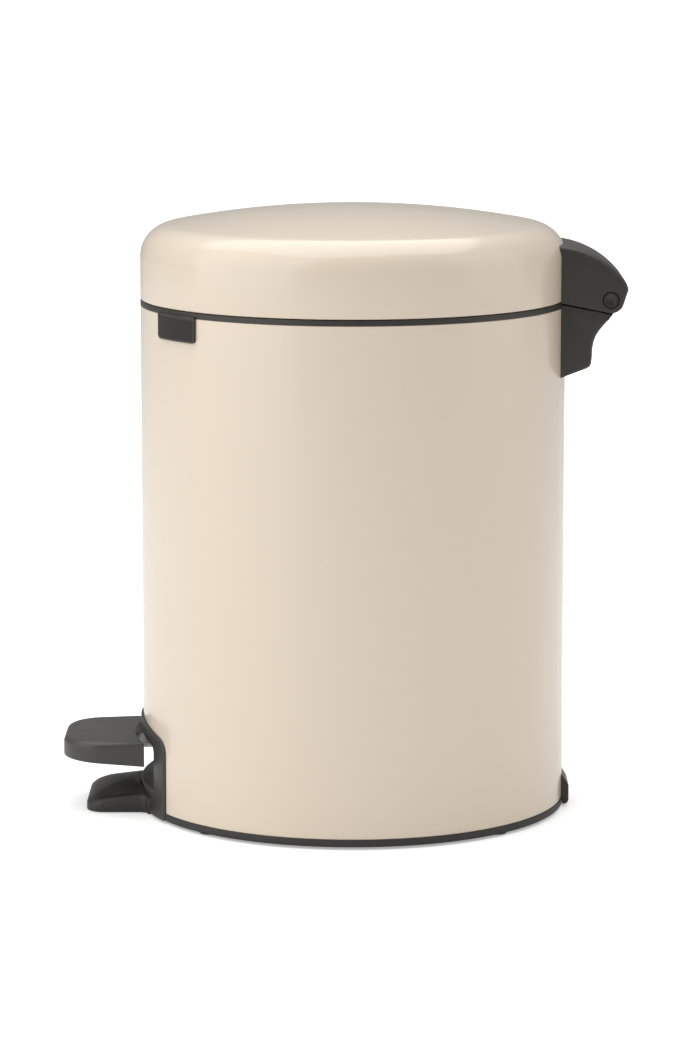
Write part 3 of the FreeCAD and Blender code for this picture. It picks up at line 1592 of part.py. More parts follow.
def make_rod_clips():
    wire = size["rod_radius"]
    lower = washer("lower_rod_clip", wire, lower_clip_at, rod_reach, size["rod_foot"])
    upper = washer("upper_rod_clip", wire, upper_clip_at, rod_upper_reach, rod_upper_hook)
    return joined("Compound", "rod_clips", [lower, upper])


# -------------------------------------------------------------- export

nodes = [
    make_base(),
    make_floor_ring(),
    make_body_shell(),
    make_rim_ring(),
    make_lid_buffers(),
    make_badge_plate(),
    make_pedal_frame(),
    make_frame_screws(),
    make_rear_bumper(),
    make_hinge_bracket(),
    make_backing_plate(),
    make_bracket_screws(),
    make_hinge_pin(),
    make_pin_cap(),
    make_lid_shell(),
    make_lid_liner(),
    make_lid_arm(),
    make_arm_screws(),
    make_inner_bucket(),
    make_bucket_bail(),
    make_pedal(),
    make_pedal_lever(),
    make_pedal_screws(),
    make_pedal_axle(),
    make_axle_clips(),
    make_push_rod(),
    make_rod_clips(),
]
doc.recompute()

pedal_travel = math.degrees(math.atan(2 * rod_half_travel.number / rod_span.number))
print(f"rod travel {2 * rod_half_travel.number:.2f} mm, pedal travel {pedal_travel:.2f} degrees")

for item in doc.Objects:
    if "Invalid" in item.State or "Error" in item.State:
        raise RuntimeError(f"{item.Label} failed: {item.State}")
for node in nodes:
    if node.Shape.isNull() or not node.Shape.isValid():
        raise RuntimeError(f"{node.Label} has no valid shape")

os.makedirs("parts", exist_ok=True)
for node in nodes:
    node.Shape.exportStep(f"parts/{node.Label}.step")
    print(f"{node.Label}: {len(node.Shape.Solids)} solid(s), {node.Shape.Volume:.0f} mm3")
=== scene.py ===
import logging
import math
from abc import ABC, abstractmethod
from collections.abc import Callable, Sequence
from dataclasses import dataclass, field
from enum import Enum

import bmesh
import bpy
from mathutils import Matrix, Vector


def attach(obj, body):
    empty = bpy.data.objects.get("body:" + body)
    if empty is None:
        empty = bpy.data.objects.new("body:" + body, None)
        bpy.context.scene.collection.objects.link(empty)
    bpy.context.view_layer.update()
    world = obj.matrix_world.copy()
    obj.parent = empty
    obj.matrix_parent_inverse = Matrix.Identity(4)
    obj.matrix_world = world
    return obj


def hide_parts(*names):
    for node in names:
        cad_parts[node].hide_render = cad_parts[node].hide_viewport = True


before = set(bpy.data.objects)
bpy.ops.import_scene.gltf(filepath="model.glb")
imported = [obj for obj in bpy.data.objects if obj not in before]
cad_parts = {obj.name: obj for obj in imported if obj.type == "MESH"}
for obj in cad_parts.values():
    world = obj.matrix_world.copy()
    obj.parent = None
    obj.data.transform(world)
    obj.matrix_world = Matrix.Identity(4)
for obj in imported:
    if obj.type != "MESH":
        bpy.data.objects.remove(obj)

log = logging.getLogger("pedal_can")

Point = tuple[float, float]
Colour = tuple[float, float, float]
Placer = Callable[[float, float, float], Vector]


# ------------------------------------------------------------- shaders


class Signal:
    """A shader value that can be used in a Python expression."""

    def __init__(self, tree: "ShaderTree", socket: bpy.types.NodeSocket) -> None:
        """Keep the socket and the tree that it belongs to."""
        self.tree = tree
        self.socket = socket

    def _joined(self, operation: str, first: object, second: object) -> "Signal":
        """Add a Math node.

        Args:
            operation: the node's operation.
            first: a number or a Signal.
            second: a number or a Signal.

        Returns:
            The node's value.
        """
        node = self.tree.node("ShaderNodeMath", {"operation": operation}, {0: first, 1: second})
        return Signal(self.tree, node.outputs[0])

    def __add__(self, other: object) -> "Signal":
        """Sum."""
        return self._joined("ADD", self, other)

    def __radd__(self, other: object) -> "Signal":
        """Sum with a number on the left."""
        return self._joined("ADD", other, self)

    def __sub__(self, other: object) -> "Signal":
        """Difference."""
        return self._joined("SUBTRACT", self, other)

    def __rsub__(self, other: object) -> "Signal":
        """Difference with a number on the left."""
        return self._joined("SUBTRACT", other, self)

    def __mul__(self, other: object) -> "Signal":
        """Product."""
        return self._joined("MULTIPLY", self, other)

    def __rmul__(self, other: object) -> "Signal":
        """Product with a number on the left."""
        return self._joined("MULTIPLY", other, self)

    def step(self, low: float, high: float) -> "Signal":
        """Smooth rise from 0 to 1 between two values.

        Args:
            low: value where the rise starts.
            high: value where it ends.

        Returns:
            The smoothed value.
        """
        node = self.tree.node(
            "ShaderNodeMapRange",
            {"interpolation_type": "SMOOTHSTEP"},
            {"Value": self, "From Min": low, "From Max": high},
        )
        return Signal(self.tree, node.outputs[0])


class ShaderTree:
    """A material's node tree, built through one node-making method."""

    def __init__(self, name: str) -> None:
        """Start an empty tree with the piece's own coordinates."""
        self.material = bpy.data.materials.new(name)
        self.material.use_nodes = True
        self.tree = self.material.node_tree
        self.tree.nodes.clear()
        self.place = self.node("ShaderNodeTexCoord").outputs["Object"]

    def node(
        self, kind: str, settings: dict | None = None, values: dict | None = None
    ) -> bpy.types.Node:
        """Add a node.

        Args:
            kind: the node's type.
            settings: its properties.
            values: numbers, colours, sockets or Signals for its inputs.

        Returns:
            The new node.
        """
        node = self.tree.nodes.new(kind)
        for name, value in (settings or {}).items():
            setattr(node, name, value)
        for name, value in (values or {}).items():
            if isinstance(value, Signal):
                value = value.socket
            if isinstance(value, bpy.types.NodeSocket):
                self.tree.links.new(value, node.inputs[name])
            else:
                node.inputs[name].default_value = value
        return node

    def stretched(self, scale: Sequence[float]) -> bpy.types.NodeSocket:
        """The piece's coordinates, scaled along each axis."""
        node = self.node("ShaderNodeMapping", {}, {"Vector": self.place, "Scale": tuple(scale)})
        return node.outputs[0]

    def noise(
        self, scale: float, detail: float = 2.0, stretch: Sequence[float] = (1.0, 1.0, 1.0)
    ) -> Signal:
        """Soft noise from 0 to 1.

        Args:
            scale: cells to the metre.
            detail: finer layers.
            stretch: scale along each axis.

        Returns:
            The noise.
        """
        node = self.node(
            "ShaderNodeTexNoise",
            {},
            {"Vector": self.stretched(stretch), "Scale": scale, "Detail": detail},
        )
        return Signal(self, node.outputs[0])

    def cells(self, scale: float) -> Signal:
        """Distance to the nearest point of a random set, for pitted grain."""
        node = self.node("ShaderNodeTexVoronoi", {}, {"Vector": self.place, "Scale": scale})
        return Signal(self, node.outputs["Distance"])

    def axis(self, letter: str) -> Signal:
        """One coordinate of the piece, in metres."""
        node = self.node("ShaderNodeSeparateXYZ", {}, {"Vector": self.place})
        return Signal(self, node.outputs[letter])

    def distance(self) -> Signal:
        """Distance from the piece's own origin, in metres."""
        node = self.node("ShaderNodeVectorMath", {"operation": "LENGTH"}, {0: self.place})
        return Signal(self, node.outputs["Value"])

    def mix(self, share: Signal, first: Colour, second: Colour) -> bpy.types.NodeSocket:
        """Blend of two colours.

        Args:
            share: how much of the second colour.
            first: a colour.
            second: another colour.

        Returns:
            The blended colour.
        """
        node = self.node(
            "ShaderNodeMix",
            {"data_type": "RGBA"},
            {"Factor": share, 6: (*first, 1.0), 7: (*second, 1.0)},
        )
        return node.outputs[2]

    def bump(self, height: Signal, depth: float, strength: float) -> bpy.types.NodeSocket:
        """Relief of a surface.

        Args:
            height: value from 0 to 1.
            depth: real depth in metres.
            strength: share of the relief that shows.

        Returns:
            The bent normal.
        """
        node = self.node(
            "ShaderNodeBump", {}, {"Height": height, "Distance": depth, "Strength": strength}
        )
        return node.outputs[0]

    def close(self, values: dict) -> bpy.types.Material:
        """Finish with one Principled surface.

        Args:
            values: the surface's inputs.

        Returns:
            The material.
        """
        surface = self.node("ShaderNodeBsdfPrincipled", {}, values)
        self.node("ShaderNodeOutputMaterial", {}, {"Surface": surface.outputs[0]})
        return self.material


def tinted(colour: Colour, factor: float) -> Colour:
    """A colour made lighter or darker."""
    return tuple(min(1.0, part * factor) for part in colour)


@dataclass(frozen=True)
class Finish(ABC):
    """The finish of one of the can's materials."""

    name: str
    slot: str
    colour: Colour

    def material(self) -> bpy.types.Material:
        """The finish's material, made once."""
        return bpy.data.materials.get(self.name) or self.build(ShaderTree(self.name))

    @abstractmethod
    def build(self, tree: ShaderTree) -> bpy.types.Material:
        """Make the material in an empty tree."""


@dataclass(frozen=True)
class PowderCoat(Finish):
    """Satin powder coat on steel sheet, with a faint orange peel."""

    roughness: float = 0.36

    def build(self, tree: ShaderTree) -> bpy.types.Material:
        """Make the coat's tone, peel and sheen."""
        drift = tree.noise(9.0, 2.0)
        speck = tree.noise(5200.0, 1.0)
        tone = tree.mix(drift * 0.7 + speck * 0.3, tinted(self.colour, 0.982), tinted(self.colour, 1.018))
        peel = tree.noise(620.0, 2.0) * 0.8 + tree.noise(2600.0, 1.0) * 0.2
        gloss = tree.noise(60.0, 2.0) * 0.06 + (self.roughness - 0.03)
        return tree.close(
            {
                "Base Color": tone,
                "Roughness": gloss,
                "Normal": tree.bump(peel, 0.00002, 0.35),
                "Coat Weight": 0.85,
                "Coat Roughness": 0.13,
                "Specular IOR Level": 0.45,
            }
        )


@dataclass(frozen=True)
class GrainedPlastic(Finish):
    """Moulded plastic with a fine eroded grain."""

    roughness: float = 0.42
    grain: float = 3600.0
    depth: float = 0.00003
    shine: float = 0.5

    def rubbed(self, tree: ShaderTree) -> Signal | None:
        """Mask of the part that shoes or hands polish, if there is one."""
        return None

    def build(self, tree: ShaderTree) -> bpy.types.Material:
        """Make the grain, its tone and the polished part."""
        clouds = tree.noise(55.0, 3.0)
        grain = tree.noise(self.grain, 3.0)
        pits = tree.cells(self.grain * 0.45)
        gloss = clouds * 0.07 + grain * 0.08 + (self.roughness - 0.075)
        share = clouds * 0.6 + grain * 0.4
        rubbed = self.rubbed(tree)
        if rubbed is not None:
            gloss = gloss - rubbed * 0.07
            share = share + rubbed * 0.35
        return tree.close(
            {
                "Base Color": tree.mix(share, tinted(self.colour, 0.84), tinted(self.colour, 1.16)),
                "Roughness": gloss,
                "Normal": tree.bump(grain * 0.7 + pits * 0.3, self.depth, 0.45),
                "Specular IOR Level": self.shine,
            }
        )


@dataclass(frozen=True)
class TreadPlastic(GrainedPlastic):
    """Grained plastic, polished a little where a shoe presses it."""

    def rubbed(self, tree: ShaderTree) -> Signal:
        """Soft patch on the outer half of the tread."""
        outward = 1.0 - tree.axis("Y").step(-0.136, -0.112)
        high = tree.axis("Z").step(0.033, 0.0358)
        return outward * high * tree.noise(160.0, 3.0).step(0.3, 0.75)


@dataclass(frozen=True)
class SoftRubber(Finish):
    """Matt rubber with a dusty bloom."""

    def build(self, tree: ShaderTree) -> bpy.types.Material:
        """Make the bloom and the fine relief."""
        bloom = tree.noise(130.0, 3.0)
        return tree.close(
            {
                "Base Color": tree.mix(bloom, tinted(self.colour, 0.8), tinted(self.colour, 1.5)),
                "Roughness": bloom * 0.12 + 0.76,
                "Normal": tree.bump(tree.noise(2400.0, 2.0), 0.00004, 0.4),
                "Specular IOR Level": 0.35,
            }
        )


@dataclass(frozen=True)
class PlatedSteel(Finish):
    """Plated steel with lines along the way it was drawn or rolled."""

    roughness: float = 0.3
    lines: tuple[float, float, float] = (1.0, 0.05, 1.0)

    def build(self, tree: ShaderTree) -> bpy.types.Material:
        """Make the drawn lines and the plating's clouds."""
        drawn = tree.noise(1900.0, 2.0, self.lines)
        clouds = tree.noise(90.0, 3.0)
        return tree.close(
            {
                "Base Color": tree.mix(clouds, tinted(self.colour, 0.86), tinted(self.colour, 1.08)),
                "Metallic": 1.0,
                "Roughness": drawn * 0.16 + clouds * 0.06 + (self.roughness - 0.1),
                "Normal": tree.bump(drawn, 0.00002, 0.35),
            }
        )


@dataclass(frozen=True)
class StudioPaper(Finish):
    """Pale paper of the studio floor, with a painted glow that only the camera sees; the glow is dimmer near
    the can, a painted shadow round it.
    """

    # strength of the painted glow; near and far bound the painted shadow round the can
    painted_glow: float = 1.0
    near: float = 0.1
    far: float = 0.45

    def build(self, tree: ShaderTree) -> bpy.types.Material:
        """Make the paper's faint fibres and its painted glow."""
        fibres = tree.noise(240.0, 4.0)
        away = tree.distance()
        seen = Signal(tree, tree.node("ShaderNodeLightPath").outputs["Is Camera Ray"])
        # painted light: camera-only glow, dim near the can as a painted contact shadow, bright further away
        painted_glow = (away.step(self.near, self.far) * 0.54 + 0.38) * seen
        painted_glow_colour = tree.mix(painted_glow, (0.0, 0.0, 0.0), (1.0, 1.0, 1.0))
        return tree.close(
            {
                "Base Color": tree.mix(fibres, tinted(self.colour, 0.995), self.colour),
                "Roughness": fibres * 0.1 + 0.85,
                "Normal": tree.bump(fibres, 0.0001, 0.1),
                "Specular IOR Level": 0.1,
                "Emission Color": painted_glow_colour,
                "Emission Strength": self.painted_glow,
            }
        )


WARM_GREY: Colour = (0.036, 0.032, 0.0265)
BEIGE: Colour = (0.80, 0.68, 0.545)


class Finishes(Enum):
    """Every finish on the can."""

    BODY = PowderCoat("beige_powder_coat", "body_enamel", BEIGE)
    LID = PowderCoat("beige_powder_coat_lid", "lid_enamel", BEIGE)
    TRIM = GrainedPlastic("warm_grey_moulding", "dark_plastic", WARM_GREY)
    TREAD = TreadPlastic("warm_grey_tread", "pedal_plastic", (0.048, 0.0435, 0.039), 0.4, shine=0.6)
    BASE = GrainedPlastic("black_base_moulding", "black_plastic", (0.028, 0.027, 0.026), 0.5)
    LINER = GrainedPlastic("grey_lid_liner", "liner_plastic", (0.06, 0.058, 0.055), 0.52)
    BUCKET = GrainedPlastic("dark_bucket_plastic", "bucket_plastic", (0.045, 0.045, 0.045), 0.42, 2400.0)
    BADGE = GrainedPlastic("blank_badge_plastic", "badge", (0.03, 0.027, 0.024), 0.44, 5200.0, 0.00001, 0.2)
    RUBBER = SoftRubber("black_rubber", "rubber", (0.022, 0.022, 0.022))
    STEEL = PlatedSteel("zinc_plated_screw", "steel", (0.62, 0.62, 0.6))
    PIN = PlatedSteel("blackened_pin", "pin_finish", (0.07, 0.066, 0.06), 0.42)
    SHEET = PlatedSteel("zinc_plated_sheet", "zinc_sheet", (0.62, 0.63, 0.62), 0.36, (1.0, 0.04, 1.0))
    SPRING = PlatedSteel("blued_spring_steel", "spring_steel", (0.3, 0.31, 0.34), 0.34)
    ROD = PlatedSteel("bright_rod_wire", "rod_wire", (0.68, 0.68, 0.66), 0.26, (1.0, 1.0, 0.04))
    BAIL = PlatedSteel("bright_bail_wire", "bail_wire", (0.72, 0.72, 0.7), 0.24, (0.2, 0.2, 1.0))

    @property
    def slot(self) -> str:
        """The record's material slot."""
        return self.value.slot

    def material(self) -> bpy.types.Material:
        """The finish's material."""
        return self.value.material()


# -------------------------------------------------------------- meshes


def arc(centre: Point, radius: float, start: float, end: float, steps: int) -> list[Point]:
    """Points along an arc.

    Args:
        centre: the arc's centre.
        radius: its radius.
        start: first angle in degrees.
        end: last angle in degrees.
        steps: spans between the points.

    Returns:
        The points, both ends included.
    """
    points = []
    for index in range(steps + 1):
        turn = math.radians(start + (end - start) * index / steps)
        points.append((centre[0] + radius * math.cos(turn), centre[1] + radius * math.sin(turn)))
    return points


def rounded(corners: Sequence[tuple[float, float, float]], steps: int = 8) -> list[Point]:
    """A closed outline with its corners rounded.

    Args:
        corners: (u, v, radius) for each corner, in order.
        steps: spans in each rounded corner.

    Returns:
        The outline's points.
    """
    points: list[Point] = []
    count = len(corners)
    for index, (u, v, radius) in enumerate(corners):
        here = Vector((u, v))
        before = (Vector(corners[index - 1][:2]) - here).normalized()
        after = (Vector(corners[(index + 1) % count][:2]) - here).normalized()
        if radius <= 0.0:
            points.append((u, v))
            continue
        half = before.angle(after) / 2
        centre = here + (before + after).normalized() * (radius / math.sin(half))
        first = here + before * (radius / math.tan(half)) - centre
        last = here + after * (radius / math.tan(half)) - centre
        sweep = first.angle_signed(last)
        for step in range(steps + 1):
            turn = Matrix.Rotation(-sweep * step / steps, 2)
            point = centre + turn @ first
            points.append((point.x, point.y))
    return points


def inset(outline: Sequence[Point], distances: Sequence[float]) -> list[Point]:
    """An outline drawn in.

    Args:
        outline: closed outline, anticlockwise.
        distances: how far each point goes in.

    Returns:
        The smaller outline.
    """
    moved = []
    count = len(outline)
    for index, (point, distance) in enumerate(zip(outline, distances)):
        here = Vector(point)
        incoming = (here - Vector(outline[index - 1])).normalized()
        outgoing = (Vector(outline[(index + 1) % count]) - here).normalized()
        first = Vector((-incoming.y, incoming.x))
        second = Vector((-outgoing.y, outgoing.x))
        mitre = first + second
        mitre = mitre * (2.0 / max(mitre.length_squared, 0.8))
        moved.append(tuple(here + mitre * distance))
    return moved


class Skin:
    """Rings of points that become one closed mesh."""

    def __init__(self) -> None:
        """Start an empty mesh."""
        self.mesh = bmesh.new()

    def ring(self, points: Sequence[Vector]) -> list[bmesh.types.BMVert]:
        """Add points that go round the piece."""
        return [self.mesh.verts.new(point) for point in points]

    def wall(self, first: list[bmesh.types.BMVert], second: list[bmesh.types.BMVert]) -> None:
        """Join two rings with four-sided faces.

        Args:
            first: a ring.
            second: a ring of as many points; either one may be a single point.
        """
        count = max(len(first), len(second))
        for index in range(count):
            after = (index + 1) % count
            if len(first) == 1:
                self.mesh.faces.new((first[0], second[after], second[index]))
            elif len(second) == 1:
                self.mesh.faces.new((first[index], first[after], second[0]))
            else:
                self.mesh.faces.new((first[index], first[after], second[after], second[index]))

    def loft(self, rings: Sequence[Sequence[Vector]], caps: bool = True) -> "Skin":
        """Join rings one after another.

        Args:
            rings: the rings.
            caps: close the first and the last one; otherwise the last joins the first.

        Returns:
            This skin.
        """
        made = [self.ring(points) for points in rings]
        for first, second in zip(made, made[1:]):
            self.wall(first, second)
        if caps:
            for ring in (list(reversed(made[0])), made[-1]):
                if len(ring) > 1:
                    self.mesh.faces.new(ring)
        else:
            self.wall(made[-1], made[0])
        return self

    def piece(self, name: str, sharp: float = 32.0) -> bpy.types.Object:
        """Turn the rings into an object.

        Args:
            name: the object's name.
            sharp: edges turned further than this, in degrees, stay sharp.

        Returns:
            The object, at the origin.
        """
        bmesh.ops.remove_doubles(self.mesh, verts=self.mesh.verts, dist=1e-7)
        bmesh.ops.dissolve_degenerate(self.mesh, edges=self.mesh.edges, dist=1e-7)
        bmesh.ops.recalc_face_normals(self.mesh, faces=self.mesh.faces)
        data = bpy.data.meshes.new(name)
        self.mesh.to_mesh(data)
        self.mesh.free()
        piece = bpy.data.objects.new(name, data)
        bpy.context.scene.collection.objects.link(piece)
        return smoothed(piece, sharp)


def smoothed(piece: bpy.types.Object, sharp: float = 32.0) -> bpy.types.Object:
    """Shade a piece smooth between its sharp edges."""
    piece.data.shade_smooth()
    piece.data.set_sharp_from_angle(angle=math.radians(sharp))
    return piece


def lathe(section: Sequence[Point], segments: int, axis: Placer | None = None) -> Skin:
    """Turn a closed section about an axis.

    Args:
        section: (radius, height) points.
        segments: spans round the axis.
        axis: places (across, along, height); upright if left out.

    Returns:
        The closed skin.
    """
    place = axis or (lambda x, y, z: Vector((x, y, z)))
    rings = []
    for index in range(segments):
        turn = 2 * math.pi * index / segments
        rings.append([place(r * math.cos(turn), r * math.sin(turn), z) for r, z in section])
    return Skin().loft(rings, caps=False)


def slab(
    outline: Sequence[Point],
    low: float,
    high: float,
    edges: tuple[float, float],
    place: Placer,
    softness: Callable[[float, float], float] = lambda u, v: 1.0,
    steps: int = 5,
) -> Skin:
    """A solid between two levels with its edges rounded.

    Args:
        outline: anticlockwise outline.
        low: lower level.
        high: upper level.
        edges: radius at the lower and at the upper level.
        place: turns (u, v, level) into a point.
        softness: share of the radius at each point of the outline.
        steps: spans in each rounded edge.

    Returns:
        The closed skin.
    """
    share = [softness(u, v) for u, v in outline]
    rings = []
    for side, (level, radius) in enumerate(((low, edges[0]), (high, edges[1]))):
        outward = 1.0 if side == 0 else -1.0
        ring_list = []
        for step in range(steps + 1):
            turn = math.radians(90.0 * step / steps)
            drawn = inset(outline, [radius * part * (1 - math.sin(turn)) for part in share])
            rise = [radius * part * (1 - math.cos(turn)) * outward for part in share]
            ring_list.append([place(u, v, level + lift) for (u, v), lift in zip(drawn, rise)])
        rings += ring_list if side == 0 else list(reversed(ring_list))
    return Skin().loft(rings)


def upright(u: float, v: float, level: float) -> Vector:
    """A plan seen from above."""
    return Vector((u, v, level))


def sideways(u: float, v: float, level: float) -> Vector:
    """A side view: u along Y, v up, level across."""
    return Vector((level, u, v))


def frontal(u: float, v: float, level: float) -> Vector:
    """A front view: u across, v up, level along Y."""
    return Vector((u, level, v))


def cutter(
    name: str, outline: Sequence[Point], low: float, high: float, place: Placer
) -> bpy.types.Object:
    """A sharp-edged solid for cutting.

    Args:
        name: the object's name.
        outline: anticlockwise outline.
        low: lower level.
        high: upper level.
        place: turns (u, v, level) into a point.

    Returns:
        The solid.
    """
    return slab(outline, low, high, (0.0, 0.0), place, steps=1).piece(name)


def rectangle(left: float, low: float, right: float, high: float) -> list[Point]:
    """The corners of a rectangle, anticlockwise."""
    return [(left, low), (right, low), (right, high), (left, high)]


def baked(piece: bpy.types.Object) -> bpy.types.Object:
    """Make a piece's modifiers part of its mesh."""
    graph = bpy.context.evaluated_depsgraph_get()
    data = bpy.data.meshes.new_from_object(piece.evaluated_get(graph))
    piece.modifiers.clear()
    piece.data = data
    return piece


def cut_away(piece: bpy.types.Object, *tools: bpy.types.Object) -> bpy.types.Object:
    """Cut some solids out of a piece.

    Args:
        piece: what stays.
        *tools: what is cut out; they are removed.

    Returns:
        The piece.
    """
    for tool in tools:
        modifier = piece.modifiers.new("cut", "BOOLEAN")
        modifier.operation = "DIFFERENCE"
        modifier.solver = "EXACT"
        modifier.object = tool
        baked(piece)
        bpy.data.objects.remove(tool)
    return smoothed(piece)


def merged(name: str, pieces: Sequence[bpy.types.Object]) -> bpy.types.Object:
    """Join pieces into one object.

    Args:
        name: the new object's name.
        pieces: the pieces; all but the first are removed.

    Returns:
        The joined object.
    """
    with bpy.context.temp_override(
        active_object=pieces[0], selected_editable_objects=list(pieces), object=pieces[0]
    ):
        bpy.ops.object.join()
    pieces[0].name = name
    return pieces[0]


def dressed(
    piece: bpy.types.Object, finish: Finishes, body: str, *nodes: str
) -> bpy.types.Object:
    """Give a new piece its finish, its body and the CAD nodes that it stands for.

    Args:
        piece: the new piece.
        finish: its finish.
        body: the CAD body that it moves with.
        *nodes: CAD nodes that it stands for.

    Returns:
        The piece.
    """
    piece.data.materials.clear()
    piece.data.materials.append(finish.material())
    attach(piece, body)
    finish.slot
    if nodes:
        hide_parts(*nodes)
    log.info("%s: %d faces, rides on %s", piece.name, len(piece.data.polygons), body)
    return piece


def kept(node: str, finish: Finishes) -> None:
    """Give a CAD node that stays its finish.

    Args:
        node: the CAD node.
        finish: its finish.
    """
    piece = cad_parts[node]
    piece.data.materials.clear()
    piece.data.materials.append(finish.material())
    finish.slot
    log.info("%s: CAD node in %s", node, finish.material().name)


# ------------------------------------------------------ geometry nodes


class NodeShape:
    """A Geometry Nodes tree that is built here and baked to a plain mesh."""

    def __init__(self, name: str, finish: Finishes) -> None:
        """Start a tree that ends in Realize Instances and Set Material."""
        self.name = name
        self.finish = finish
        self.tree = bpy.data.node_groups.new(name, "GeometryNodeTree")
        face = self.tree.interface
        face.new_socket("Geometry", in_out="INPUT", socket_type="NodeSocketGeometry")
        face.new_socket("Geometry", in_out="OUTPUT", socket_type="NodeSocketGeometry")
        self.start = self.tree.nodes.new("NodeGroupInput")
        self.values: dict[str, float | int] = {}

    def size(self, name: str, value: float | int) -> bpy.types.NodeSocket:
        """Add a named input.

        Args:
            name: the input's name.
            value: its value for this piece.

        Returns:
            The socket that gives it inside the tree.
        """
        kind = "NodeSocketInt" if isinstance(value, int) else "NodeSocketFloat"
        socket = self.tree.interface.new_socket(name, in_out="INPUT", socket_type=kind)
        self.values[socket.identifier] = value
        return self.start.outputs[name]

    def node(
        self, kind: str, settings: dict | None = None, values: dict | None = None
    ) -> bpy.types.Node:
        """Add a node.

        Args:
            kind: its type, without the common prefix of geometry nodes or with another's.
            settings: its properties.
            values: numbers, vectors or sockets for its inputs.

        Returns:
            The new node.
        """
        kind = kind if kind.startswith(("Shader", "Function")) else f"GeometryNode{kind}"
        node = self.tree.nodes.new(kind)
        for name, value in (settings or {}).items():
            setattr(node, name, value)
        for name, value in (values or {}).items():
            if isinstance(value, bpy.types.NodeSocket):
                self.tree.links.new(value, node.inputs[name])
            else:
                node.inputs[name].default_value = value
        return node

    def maths(self, operation: str, first: object, second: object) -> bpy.types.NodeSocket:
        """Arithmetic on two values."""
        return self.node("ShaderNodeMath", {"operation": operation}, {0: first, 1: second}).outputs[0]

    def vector(self, x: object, y: object, z: object) -> bpy.types.NodeSocket:
        """A vector from its parts."""
        return self.node("ShaderNodeCombineXYZ", {}, {0: x, 1: y, 2: z}).outputs[0]

    def moved(
        self, shape: bpy.types.NodeSocket, place: object, turn: object = (0.0, 0.0, 0.0)
    ) -> bpy.types.NodeSocket:
        """A shape turned, then moved.

        Args:
            shape: the geometry.
            place: where it goes.
            turn: its rotation.

        Returns:
            The moved geometry.
        """
        values = {"Geometry": shape, "Translation": place, "Rotation": turn}
        return self.node("Transform", {}, values).outputs[0]

    def piece(
        self, shape: bpy.types.NodeSocket, host: bpy.types.Object | None = None
    ) -> bpy.types.Object:
        """Run the tree and keep its result.

        Args:
            shape: the tree's last geometry.
            host: object that the tree works on, such as a path; an empty mesh if left out.

        Returns:
            A plain mesh object at the origin.
        """
        real = self.node("RealizeInstances", {}, {"Geometry": shape}).outputs[0]
        painted = self.node(
            "SetMaterial", {}, {"Geometry": real, "Material": self.finish.material()}
        ).outputs[0]
        end = self.tree.nodes.new("NodeGroupOutput")
        self.tree.links.new(painted, end.inputs[0])
        if host is None:
            host = bpy.data.objects.new(f"{self.name}_host", bpy.data.meshes.new(self.name))
            bpy.context.scene.collection.objects.link(host)
        modifier = host.modifiers.new(self.name, "NODES")
        modifier.node_group = self.tree
        for identifier, value in self.values.items():
            modifier[identifier] = value
        graph = bpy.context.evaluated_depsgraph_get()
        data = bpy.data.meshes.new_from_object(host.evaluated_get(graph))
        data.name = self.name
        bpy.data.objects.remove(host)
        made = bpy.data.objects.new(self.name, data)
        bpy.context.scene.collection.objects.link(made)
        return smoothed(made)


FROM_INSIDE = (math.pi / 2, -math.pi / 2)
FROM_ABOVE = (0.0, math.pi)
FROM_BELOW = (0.0, 0.0)


